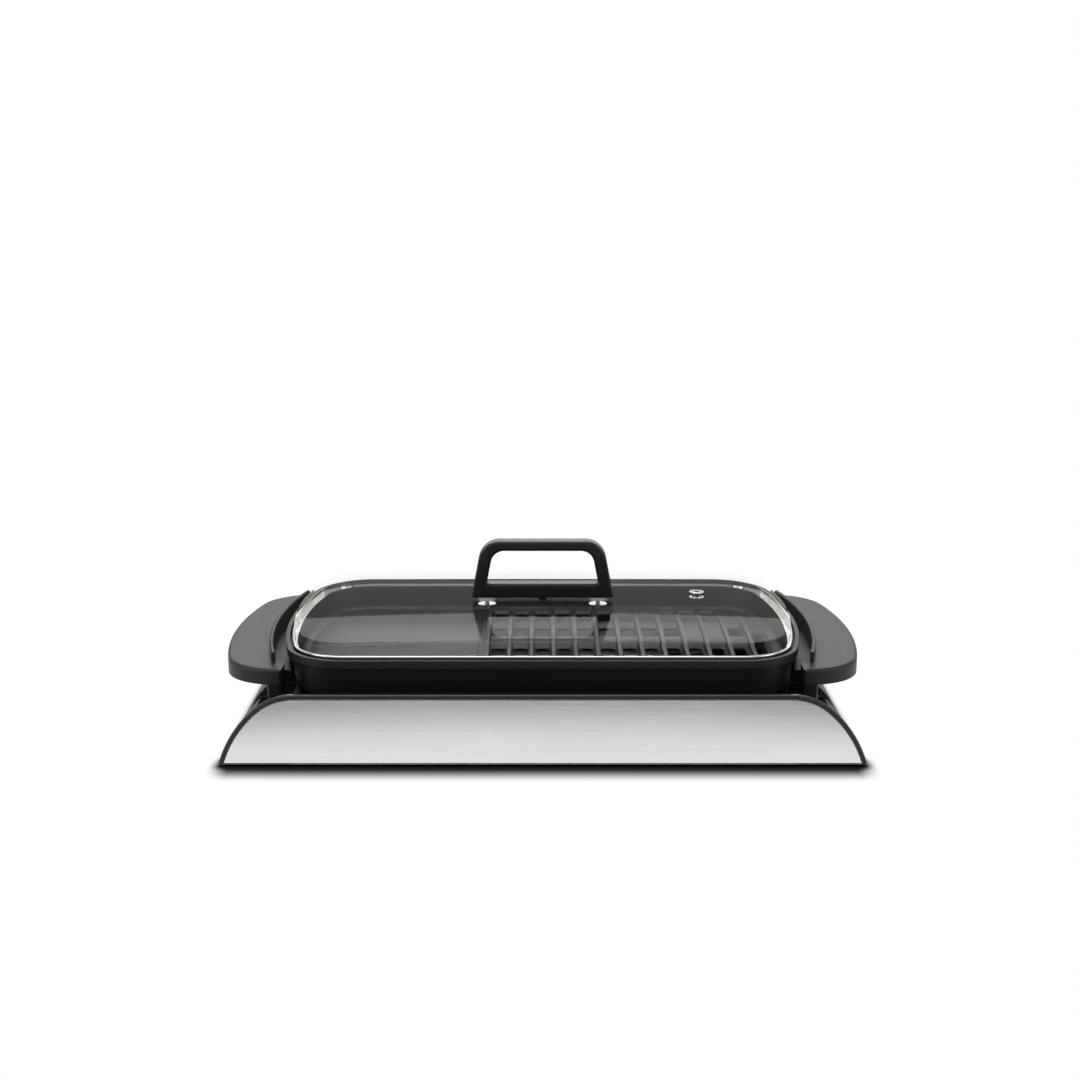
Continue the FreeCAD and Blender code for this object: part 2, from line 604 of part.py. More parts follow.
def handle_lug(y):
    """Cast lug on the plate's right end, under the handle."""
    x0 = PLATE_W / 2 - BOWL_INSET
    x1 = PLATE_W / 2 + LUG_REACH
    z1 = HANDLE_Z - SEAT_GAP / 3
    lug = box((x0, x1), (y - LUG_W / 2, y + LUG_W / 2), (z1 - LUG_T, z1))
    lug = lug.makeFillet(LUG_W / 4, [e for e in upright_edges(lug) if e.BoundBox.XMin > x1 - 1])
    return lug.cut(rod(SCREW_R + SCREW_FIT, z1 - 2 * LUG_T, z1 + LUG_T, x1 - LUG_SCREW_IN, y))


def grill_plate():
    """Cast plate: bowl with a lid seat, flat half, ribbed and slotted half, lugs and strap bosses."""
    band_z = RIM_Z - RIM_BAND_H
    body = taper(plate_wire(PLATE_Z, RIM_BAND_OUT + WALL_DRAFT), plate_wire(band_z, RIM_BAND_OUT))
    body = body.makeFillet(BOTTOM_ROUND, level_edges(body, PLATE_Z))
    body = body.fuse(prism(plate_wire(band_z), RIM_BAND_H))
    bowl = taper(plate_wire(COOK_Z, BOWL_INSET + BOWL_DRAFT), plate_wire(LEDGE_Z, BOWL_INSET))
    bowl = bowl.makeFillet(BOWL_ROUND, level_edges(bowl, COOK_Z))
    seat = prism(plate_wire(LEDGE_Z, RIM_T), 2 * LEDGE_DEEP)
    body = body.cut(bowl.fuse(seat))
    field = prism(plate_wire(COOK_Z - 1.0, BOWL_INSET + BOWL_DRAFT + GRATE_MARGIN), GRATE_RIB_H + 2.0)
    ribs = [grate_rib(FIRST_RIB_X + i * PITCH).common(field) for i in range(RIB_COUNT)]
    lugs = [on_both_sides(handle_lug(y)) for y in (-LUG_Y, LUG_Y)]
    lugs = [lug.cut(bowl) for lug in lugs]
    boss_z = TUBE_Z - TUBE_R
    bosses = []
    for x in STRAP_X:
        for y in (-STRAP_BOSS_Y, STRAP_BOSS_Y):
            boss = rod(STRAP_BOSS_R, boss_z, PLATE_Z + 1.0, x, y)
            bosses.append(boss.cut(rod(SCREW_R + SCREW_FIT, boss_z, PLATE_Z, x, y)))
    body = joined([body] + ribs + lugs + bosses)
    groove_y = PLATE_D / 2 - BOWL_INSET - BOWL_DRAFT - GRATE_MARGIN
    groove = box((GROOVE_X - GROOVE_W / 2, GROOVE_X + GROOVE_W / 2), (-groove_y, groove_y),
                 (COOK_Z - GROOVE_DEEP, COOK_Z + 1.0))
    cuts = [slot_cut(x, y, length) for x, y, length in slot_places()]
    return body.cut(Part.makeCompound(cuts + [groove]))


def handle_outline(z, inset=0.0):
    """Outline over both handles."""
    return bowed_wire(HANDLE_W, HANDLE_D, HANDLE_BOW, HANDLE_CORNER, z, inset)


def inside_arc(extra, z0, z1):
    """Space on the plate's side of the handle's inner edge."""
    radius = PLATE_BOW + HANDLE_GAP + extra
    return rod(radius, z0, z1, PLATE_W / 2 - PLATE_BOW, 0.0)


def tapered_foot(x, y, z0, z1):
    """Foot that narrows downwards, with rounded upright edges and toe."""
    t = HANDLE_FOOT_TAPER
    mid_x, mid_y = (x[0] + x[1]) / 2, (y[0] + y[1]) / 2
    wide, deep = x[1] - x[0], y[1] - y[0]
    low = round_rect(wide - 2 * t, deep - 2 * t, HANDLE_FOOT_ROUND, mid_x, mid_y, z0)
    high = round_rect(wide, deep, HANDLE_FOOT_ROUND, mid_x, mid_y, z1)
    foot = taper(low, high)
    return foot.makeFillet(HANDLE_FOOT_ROUND / 2, level_edges(foot, z0))


def side_handle():
    """Right handle: bowed slab hollow below, upright lip, foot, stub and screw bosses."""
    z0, z1 = HANDLE_Z, HANDLE_Z + HANDLE_T
    right = box((0.0, HANDLE_W), (-HANDLE_D, HANDLE_D), (0.0, 2 * z1))
    slab = prism(handle_outline(z0), HANDLE_T)
    slab = slab.makeFillet(HANDLE_ROUND, level_edges(slab, z1))
    slab = slab.common(right).cut(inside_arc(0.0, 0.0, 2 * z1))
    roof = z1 - HANDLE_SKIN
    hollow = prism(handle_outline(z0, HANDLE_SKIN), roof - z0).common(right)
    hollow = hollow.cut(inside_arc(HANDLE_SKIN, 0.0, 2 * z1))
    screw_x = PLATE_W / 2 + LUG_REACH - LUG_SCREW_IN
    for y in (-LUG_Y, LUG_Y):
        hollow = hollow.cut(rod(SCREW_HEAD_R + SCREW_R, z0, z1, screw_x, y))
    lip = inside_arc(LIP_THICK, z0, z1 + LIP_H).cut(inside_arc(0.0, 0.0, 2 * z1))
    lip = lip.common(box((0.0, HANDLE_W), (-LIP_HALF_Y, LIP_HALF_Y), (0.0, 2 * z1)))
    lip = lip.makeFillet(LIP_THICK * 0.4, [e for e in level_edges(lip, z1 + LIP_H) if e.Length > LIP_HALF_Y])
    foot = tapered_foot(HANDLE_FOOT_X, HANDLE_FOOT_Y, HANDLE_FOOT_Z, roof + 1.0)
    stub = tapered_foot(STUB_X, STUB_Y, STUB_Z, roof + 1.0)
    body = joined([slab.cut(hollow), lip, foot, stub])
    for y in (-LUG_Y, LUG_Y):
        body = body.cut(rod(SCREW_R + SCREW_FIT, z0, z0 + SCREW_DEEP, screw_x, y))
    return body


def screw(x, y, seat_z, reach, radius=SCREW_R):
    """Pan-head screw driven upwards: the head hangs below seat_z."""
    head = rod(SCREW_HEAD_R, seat_z - SCREW_HEAD_H, seat_z, x, y)
    head = head.makeFillet(SCREW_HEAD_H * 0.35, level_edges(head, seat_z - SCREW_HEAD_H))
    return head.fuse(rod(radius, seat_z, seat_z + reach, x, y)).removeSplitter()


def handle_screws():
    """Four screws that hold the handles to the plate's lugs."""
    x = PLATE_W / 2 + LUG_REACH - LUG_SCREW_IN
    z = HANDLE_Z - SEAT_GAP / 3 - LUG_T
    reach = LUG_T + SCREW_DEEP - SCREW_R / 2
    return Part.makeCompound([screw(sx * x, y, z, reach) for sx in (-1, 1) for y in (-LUG_Y, LUG_Y)])


def element_points():
    """Corner points of the element's route, from one terminal to the other."""
    near, far = pin_rows()
    turn_x = POCKET_X - LOOP_TURN
    outer_x = turn_x - (-LEG_OUT_Y - near)
    inner_x = turn_x - (-LEG_IN_Y - far)
    corners = [(SOCKET_X0, near), (turn_x, near), (outer_x, -LEG_OUT_Y)]
    corners += [(LOOP_LEFT_X + LOOP_CUT, -LEG_OUT_Y), (LOOP_LEFT_X, LOOP_CUT - LEG_OUT_Y)]
    corners += [(LOOP_LEFT_X, LEG_OUT_Y - LOOP_CUT), (LOOP_LEFT_X + LOOP_CUT, LEG_OUT_Y)]
    corners += [(LOOP_RIGHT_X, LEG_OUT_Y), (LOOP_RIGHT_X, LEG_IN_Y), (LOOP_IN_X, LEG_IN_Y)]
    corners += [(LOOP_IN_X, -LEG_IN_Y), (inner_x, -LEG_IN_Y), (turn_x, far), (SOCKET_X0, far)]
    return [V(x, y, TUBE_Z) for x, y in corners]


def bent_path(points, bend):
    """Straight runs joined by tangent arcs."""
    edges = []
    start = points[0]
    for before, corner, after in zip(points, points[1:], points[2:]):
        back = (before - corner).normalize()
        ahead = (after - corner).normalize()
        half = back.getAngle(ahead) / 2
        setback = min(bend / math.tan(half), 0.45 * min((before - corner).Length, (after - corner).Length))
        radius = setback * math.tan(half)
        middle = corner + (back + ahead).normalize() * (radius / math.sin(half) - radius)
        enter, leave = corner + back * setback, corner + ahead * setback
        edges.append(Part.makeLine(start, enter))
        edges.append(Part.Arc(enter, middle, leave).toShape())
        start = leave
    edges.append(Part.makeLine(start, points[-1]))
    return Part.Wire(edges)


def swept_tube(points, bend, radius):
    """Round bar along a bent path."""
    path = bent_path(points, bend)
    heading = (points[1] - points[0]).normalize()
    section = Part.Wire([Part.makeCircle(radius, points[0], heading)])
    return path.makePipeShell([section], True, False)


def element_straps():
    """Two steel straps that hold the element up against the plate."""
    z = TUBE_Z - TUBE_R
    reach = STRAP_BOSS_Y + STRAP_END
    straps = []
    for x in STRAP_X:
        strap = box((x - STRAP_W / 2, x + STRAP_W / 2), (-reach, reach), (z - STRAP_T, z))
        strap = strap.makeFillet(STRAP_W * 0.45, upright_edges(strap))
        for y in (-STRAP_BOSS_Y, STRAP_BOSS_Y):
            strap = strap.cut(rod(SCREW_R + SCREW_FIT, z - 2 * STRAP_T, z + STRAP_T, x, y))
        straps.append(strap)
    return Part.makeCompound(straps)


def strap_screws():
    """Screws through the straps into the plate's bosses."""
    z = TUBE_Z - TUBE_R - STRAP_T
    reach = STRAP_T + TUBE_R
    return Part.makeCompound([screw(x, y, z, reach) for x in STRAP_X for y in (-STRAP_BOSS_Y, STRAP_BOSS_Y)])


def along_x(radius, x0, x1, y, z):
    """Round bar along X."""
    return Part.makeCylinder(radius, x1 - x0, V(x0, y, z), V(1, 0, 0))


def pin_rows():
    """Depths of the two terminal pins."""
    return (SOCKET_Y - PIN_PITCH / 2, SOCKET_Y + PIN_PITCH / 2)


def ear_screw_places():
    """Screws through the socket's ear."""
    y = SOCKET_Y + SOCKET_W / 2 + SOCKET_EAR / 2
    return [(SOCKET_X0 + SOCKET_L / 4, y), (SOCKET_X0 + SOCKET_L * 3 / 4, y)]


def socket_shroud():
    """Box under the plate round the terminals, open to the right, with an ear for two screws."""
    top = PLATE_Z - TUBE_GAP
    x = (SOCKET_X0, SOCKET_X0 + SOCKET_L)
    y = (SOCKET_Y - SOCKET_W / 2, SOCKET_Y + SOCKET_W / 2)
    z = (top - SOCKET_H, top)
    t = SOCKET_T
    body = box(x, y, z)
    body = body.makeFillet(t / 2, [e for e in body.Edges if e.BoundBox.XLength > 1 and e.BoundBox.ZMax < top])
    body = body.fuse(box(x, (y[1], y[1] + SOCKET_EAR), (top - t, top))).removeSplitter()
    body = body.cut(box((x[0] + t, x[1] + t), (y[0] + t, y[1] - t), (z[0] + t, top + t)))
    for pin_y in pin_rows():
        body = body.cut(along_x(PIN_R + SCREW_FIT, x[0] - t, x[0] + 2 * t, pin_y, TUBE_Z))
    body = body.cut(along_x(PROBE_R + SCREW_FIT, x[0] - t, x[0] + 2 * t, SOCKET_Y, TUBE_Z))
    for sx, sy in ear_screw_places():
        body = body.cut(rod(SCREW_R + SCREW_FIT, top - 2 * t, top + t, sx, sy))
    return body


def socket_screws():
    """Two screws up through the socket's ear; the plate takes their tips."""
    seat = PLATE_Z - TUBE_GAP - SOCKET_T
    return Part.makeCompound([screw(x, y, seat, SOCKET_T) for x, y in ear_screw_places()])


def terminal_pins():
    """Two round pins with domed tips, standing on the element's ends."""
    pins = []
    for y in pin_rows():
        pin = along_x(PIN_R, SOCKET_X0, SOCKET_X0 + PIN_REACH, y, TUBE_Z)
        tip = [e for e in pin.Edges if e.BoundBox.XMin > SOCKET_X0 + PIN_REACH - 1e-3]
        pins.append(pin.makeFillet(PIN_R * 0.6, tip))
    return Part.makeCompound(pins)


def probe_sleeve():
    """Closed tube between the pins that takes the control's temperature probe."""
    x1 = SOCKET_X0 + PIN_REACH
    tube = along_x(PROBE_R, x1 - PROBE_L, x1, SOCKET_Y, TUBE_Z)
    bore = along_x(PROBE_BORE, x1 - PROBE_L + PROBE_R, x1 + 1.0, SOCKET_Y, TUBE_Z)
    return tube.cut(bore)


def bail_arms():
    """Depths of the bail's two arms."""
    return (BAIL_Y[0], BAIL_Y[1])


def latch_bail():
    """Wire loop that swings about its lower ends, which turn inwards."""
    y0, y1 = bail_arms()
    inner = (y1 - y0) / 2 - BRACKET_W / 4
    corners = [V(BAIL_X, y0 + inner / 2 + BRACKET_T, BAIL_AXIS_Z), V(BAIL_X, y0, BAIL_AXIS_Z)]
    corners += [V(BAIL_X, y0, BAIL_TOP), V(BAIL_X, y1, BAIL_TOP)]
    corners += [V(BAIL_X, y1, BAIL_AXIS_Z), V(BAIL_X, y1 - inner / 2 - BRACKET_T, BAIL_AXIS_Z)]
    return swept_tube(corners, 2 * BAIL_WIRE_R, BAIL_WIRE_R)


def latch_bracket():
    """Bright bracket on the well's floor whose two ears hold the bail."""
    y0, y1 = bail_arms()
    side = BAIL_WIRE_R + SEAT_GAP
    z0, z1 = WELL_FLOOR, BAIL_AXIS_Z + 2 * BAIL_WIRE_R
    x = (BAIL_X - BRACKET_W / 2, BAIL_X + BRACKET_W / 2)
    base = box(x, (y0 + side, y1 - side), (z0, z0 + BRACKET_T))
    ears = []
    for y in ((y0 + side, y0 + side + BRACKET_T), (y1 - side - BRACKET_T, y1 - side)):
        ear = box((x[0] + BRACKET_T, x[1] - BRACKET_T), y, (z0, z1))
        ear = ear.makeFillet(BRACKET_W / 4, [e for e in level_edges(ear, z1) if e.BoundBox.YLength > BRACKET_T / 2])
        hole = Part.makeCylinder(BAIL_WIRE_R + PIVOT_FIT, 2 * BRACKET_W, V(BAIL_X, y[0] - BRACKET_W, BAIL_AXIS_Z), V(0, 1, 0))
        ears.append(ear.cut(hole))
    return joined([base] + ears)


def lid_wire(z, inset=0.0):
    """The lid's outline, which follows the plate's rim."""
    return plate_wire(z, LID_INSET + inset)


def lid_rim():
    """Steel band folded round the glass edge."""
    top = LID_Z + LID_RIM_H
    band = prism(lid_wire(LID_Z), LID_RIM_H)
    band = band.makeFillet(LID_RIM_ROUND, level_edges(band, top) + level_edges(band, LID_Z))
    band = band.cut(prism(lid_wire(LID_Z + LID_RIM_FLOOR, LID_RIM_T), LID_RIM_H))
    return band.cut(prism(lid_wire(LID_Z - 1.0, LID_RIM_WIDE), LID_RIM_H))


def crown(z_top):
    """Shallow barrel whose top is crowned both ways."""
    half_w = PLATE_W / 2 - LID_INSET
    half_d = PLATE_D / 2 - LID_INSET
    long_r = half_w ** 2 / (2 * GLASS_CROWN)
    cross_r = half_d ** 2 / (2 * GLASS_CROWN)
    drop = half_w ** 2 / (2 * long_r)
    arc = Part.Arc(V(-half_w, 0, z_top - drop), V(0, 0, z_top), V(half_w, 0, z_top - drop)).toShape()
    axis_z = z_top - cross_r
    low = [V(half_w, 0, axis_z + cross_r / 2), V(-half_w, 0, axis_z + cross_r / 2)]
    sides = [Part.makeLine(arc.Vertexes[-1].Point, low[0]), Part.makeLine(low[0], low[1])]
    sides.append(Part.makeLine(low[1], arc.Vertexes[0].Point))
    face = Part.Face(Part.Wire([arc] + sides))
    swing = math.degrees(math.atan2(half_d, cross_r)) * 1.5
    face.rotate(V(0, 0, axis_z), V(1, 0, 0), -swing)
    return face.revolve(V(0, 0, axis_z), V(1, 0, 0), 2 * swing)


def glass_body(inset, z_low, z_top, round_r):
    """Domed block inside the lid's outline with a rounded upper edge."""
    block = prism(lid_wire(z_low, inset), z_top - z_low + 1.0).common(crown(z_top))
    rounds = [e for e in block.Edges if e.BoundBox.ZMin > z_low + 1.0 and e.BoundBox.ZMin < z_top - 1.0 and is_rim(e)]
    return block.makeFillet(round_r, rounds)


def is_rim(edge):
    """True for the edges round the dome, which are not upright."""
    return max(edge.BoundBox.XLength, edge.BoundBox.YLength) > 1.0


def lid_glass():
    """Domed glass with holes for the grip's screws and the vent."""
    inset = LID_RIM_T + GLASS_FIT
    low = LID_Z + LID_RIM_FLOOR + GLASS_FIT
    outer = glass_body(inset, low, CROWN_Z, GLASS_ROUND)
    inner = glass_body(inset + GLASS_T, low - 1.0, CROWN_Z - GLASS_T, GLASS_ROUND / 2)
    glass = outer.cut(inner)
    for x in (-SEAT_X, SEAT_X):
        glass = glass.cut(rod(GRIP_SCREW_R + SEAT_GAP, LID_Z, GRIP_Z, x, 0))
    return glass.cut(rod(VENT_SLEEVE_R + SEAT_GAP / 2, LID_Z, GRIP_Z, VENT_X, VENT_Y))


def glass_top(x, y):
    """Height of the glass over the lid's plan."""
    half_w = PLATE_W / 2 - LID_INSET
    half_d = PLATE_D / 2 - LID_INSET
    return CROWN_Z - GLASS_CROWN * ((x / half_w) ** 2 + (y / half_d) ** 2)


def grip_outline(foot_w, top_w, z0, z1, corner, foot_corner):
    """Upright trapezoid with rounded corners, at the front face of the grip."""
    y = -GRIP_DEEP / 2
    corners = [V(-foot_w / 2, y, z0), V(foot_w / 2, y, z0), V(top_w / 2, y, z1), V(-top_w / 2, y, z1)]
    block = Part.Face(polygon(corners)).extrude(V(0, GRIP_DEEP, 0))
    deep = [e for e in block.Edges if e.BoundBox.YLength > GRIP_DEEP / 2]
    block = block.makeFillet(corner, [e for e in deep if e.BoundBox.ZMin > (z0 + z1) / 2])
    deep = [e for e in block.Edges if e.BoundBox.YLength > GRIP_DEEP / 2 and e.BoundBox.ZMax < z0 + 1e-3]
    return block.makeFillet(foot_corner, [e for e in deep if abs(abs(e.BoundBox.XMin) - foot_w / 2) < 1.0])


def lid_handle():
    """Loop grip with a window, rounded all over, and a nub under its middle."""
    z1 = GRIP_Z + GRIP_H
    body = grip_outline(GRIP_W, GRIP_TOP_W, GRIP_Z, z1, GRIP_CORNER, GRIP_ROUND)
    lean = (GRIP_W - GRIP_TOP_W) / GRIP_H
    low, high = GRIP_Z + GRIP_LOW_BAR, z1 - GRIP_TOP_BAR
    foot_w = GRIP_W - 2 * GRIP_LIMB - lean * GRIP_LOW_BAR
    top_w = GRIP_W - 2 * GRIP_LIMB - lean * (GRIP_H - GRIP_TOP_BAR)
    window = grip_outline(foot_w, top_w, low, high, GRIP_WINDOW_CORNER, GRIP_ROUND)
    body = body.cut(window)
    faces = [e for e in body.Edges if e.BoundBox.YLength < 1e-3]
    body = body.makeFillet(GRIP_ROUND, faces)
    nub = rod(NUB_R, GRIP_Z - SEAT_H + SEAT_GAP, GRIP_Z + GRIP_ROUND, 0, 0)
    body = joined([body, nub])
    for x in (-SEAT_X, SEAT_X):
        body = body.cut(rod(GRIP_SCREW_R + SCREW_FIT, GRIP_Z - 1.0, GRIP_Z + GRIP_SCREW_DEEP, x, 0))
    return body


def lid_handle_seats():
    """Two silicone seats between grip and glass."""
    seats = []
    for x in (-SEAT_X, SEAT_X):
        seat = prism(round_rect(SEAT_W, SEAT_D, SEAT_D / 3, x, 0, CROWN_Z), SEAT_H)
        seats.append(seat.cut(rod(GRIP_SCREW_R + SEAT_GAP, CROWN_Z - 1.0, GRIP_Z + 1.0, x, 0)))
    return Part.makeCompound(seats)


def washer_seat():
    """Height under the glass where the washers lie."""
    return glass_top(SEAT_X + WASHER_R, WASHER_R) - GLASS_T


def lid_screw_washers():
    """Washers under the glass at the grip's screws."""
    z = washer_seat()
    rings = []
    for x in (-SEAT_X, SEAT_X):
        ring = rod(WASHER_R, z - WASHER_T, z, x, 0)
        rings.append(ring.cut(rod(GRIP_SCREW_R + SCREW_FIT, z - 2 * WASHER_T, z + 1.0, x, 0)))
    return Part.makeCompound(rings)


def lid_handle_screws():
    """Screws up through washer, glass and seat into the grip."""
    z = washer_seat() - WASHER_T
    reach = GRIP_Z + GRIP_SCREW_DEEP - 1.0 - z
    return Part.makeCompound([screw(x, 0, z, reach, GRIP_SCREW_R) for x in (-SEAT_X, SEAT_X)])


def vent_eyelet():
    """Rolled steel eyelet through the glass that lets steam out."""
    slope_x = 2 * GLASS_CROWN * VENT_X / (PLATE_W / 2 - LID_INSET) ** 2
    slope_y = 2 * GLASS_CROWN * VENT_Y / (PLATE_D / 2 - LID_INSET) ** 2
    tilt = VENT_R * math.hypot(slope_x, slope_y) + GLASS_FIT
    high = glass_top(VENT_X, VENT_Y) + tilt
    low = high - GLASS_T - 2 * tilt
    top = rod(VENT_R, high, high + VENT_FLANGE, VENT_X, VENT_Y)
    top = top.makeFillet(VENT_FLANGE * 0.6, level_edges(top, high + VENT_FLANGE))
    bottom = rod(VENT_R, low - VENT_FLANGE, low, VENT_X, VENT_Y)
    sleeve = rod(VENT_SLEEVE_R, low, high, VENT_X, VENT_Y)
    body = joined([top, sleeve, bottom])
    return body.cut(rod(VENT_BORE_R, low - 2 * VENT_FLANGE, high + 2 * VENT_FLANGE, VENT_X, VENT_Y))


def main():
    """Build every piece and write it under its own name."""
    right_handle = side_handle()
    fascia = fascia_blank(FASCIA_SUNK, FASCIA_T, FASCIA_FIT)
    nodes = {
        "base_shell": base_shell(),
        "front_fascia": fascia,
        "base_feet": base_feet(),
        "latch_bracket": latch_bracket(),
        "latch_bail": latch_bail(),
        "drip_tray": drip_tray(),
        "grill_plate": grill_plate(),
        "right_handle": right_handle,
        "left_handle": mirrored(right_handle),
        "handle_screws": handle_screws(),
        "heating_element": swept_tube(element_points(), TUBE_BEND, TUBE_R),
        "element_straps": element_straps(),
        "strap_screws": strap_screws(),
        "socket_shroud": socket_shroud(),
        "socket_screws": socket_screws(),
        "terminal_pins": terminal_pins(),
        "probe_sleeve": probe_sleeve(),
        "lid_rim": lid_rim(),
        "lid_glass": lid_glass(),
        "lid_handle": lid_handle(),
        "lid_handle_seats": lid_handle_seats(),
        "lid_screw_washers": lid_screw_washers(),
        "lid_handle_screws": lid_handle_screws(),
        "vent_eyelet": vent_eyelet(),
    }
    os.makedirs("parts", exist_ok=True)
    for name, shape in nodes.items():
        shape.exportStep(f"parts/{name}.step")


main()
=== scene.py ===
"""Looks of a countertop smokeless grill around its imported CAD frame, in metres."""
import logging
import math
from dataclasses import dataclass, field
from enum import Enum
from typing import ClassVar, Optional

import bmesh
import bpy
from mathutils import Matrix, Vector
from mathutils.bvhtree import BVHTree


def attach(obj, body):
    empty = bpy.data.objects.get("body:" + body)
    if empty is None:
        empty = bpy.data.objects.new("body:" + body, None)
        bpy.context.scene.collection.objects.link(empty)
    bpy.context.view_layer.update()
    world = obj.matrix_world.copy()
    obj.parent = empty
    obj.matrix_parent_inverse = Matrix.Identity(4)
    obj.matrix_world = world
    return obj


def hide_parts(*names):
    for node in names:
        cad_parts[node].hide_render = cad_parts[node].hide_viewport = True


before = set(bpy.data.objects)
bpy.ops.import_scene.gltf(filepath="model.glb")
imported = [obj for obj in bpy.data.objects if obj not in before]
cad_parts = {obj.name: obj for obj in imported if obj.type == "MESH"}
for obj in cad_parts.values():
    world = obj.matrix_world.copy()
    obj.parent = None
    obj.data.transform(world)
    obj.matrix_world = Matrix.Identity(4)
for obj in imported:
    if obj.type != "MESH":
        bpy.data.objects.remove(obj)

log = logging.getLogger("grill")
NOISE_SPAN = (0.3, 0.7)
SAME_PLACE_DIGITS = 6
QUARTER_TURNS = ((1, 0), (0, 1), (-1, 0), (0, -1))

Color = tuple[float, float, float]
Point = tuple[float, float, float]
Span = tuple[float, float]
Ring = list[bmesh.types.BMVert]
Mesh = bmesh.types.BMesh
Socket = bpy.types.NodeSocket
Sockets = bpy.types.bpy_prop_collection


class Axis(Enum):
    """Direction in which a surface was brushed, rolled or drawn."""

    X = (1.0, 0.0, 0.0)
    Y = (0.0, 1.0, 0.0)


class Body(Enum):
    """Moving bodies of the grill."""

    BASE = "base"
    BAIL = "bail"
    TRAY = "tray"
    PLATE = "plate"
    LID = "lid"


class Slot(Enum):
    """Finish slots of the record."""

    BASE_PLASTIC = "base_plastic"
    FASCIA_STEEL = "fascia_steel"
    FOOT_RUBBER = "foot_rubber"
    BRIGHT_WIRE = "bright_wire"
    TRAY_ALUMINIUM = "tray_aluminium"
    PLATE_COATING = "plate_coating"
    HANDLE_PLASTIC = "handle_plastic"
    ELEMENT_STEEL = "element_steel"
    STRAP_STEEL = "strap_steel"
    SCREW_STEEL = "screw_steel"
    SOCKET_PLASTIC = "socket_plastic"
    PIN_METAL = "pin_metal"
    LID_GLASS = "lid_glass"
    RIM_STEEL = "rim_steel"
    GRIP_PLASTIC = "grip_plastic"
    SEAT_SILICONE = "seat_silicone"


class Effect(Enum):
    """Node groups that the finishes share, each named as its builder in Effects."""

    SPARK_GRAIN = "spark_grain"
    MOTTLE = "mottle"
    DRAWN_LINES = "drawn_lines"
    SCUFFS = "scuffs"
    EDGE_ROUND = "edge_round"


def toned(color: Color, share: float) -> Color:
    """Colour made paler or darker by a share."""
    return tuple(min(1.0, c * share) for c in color)


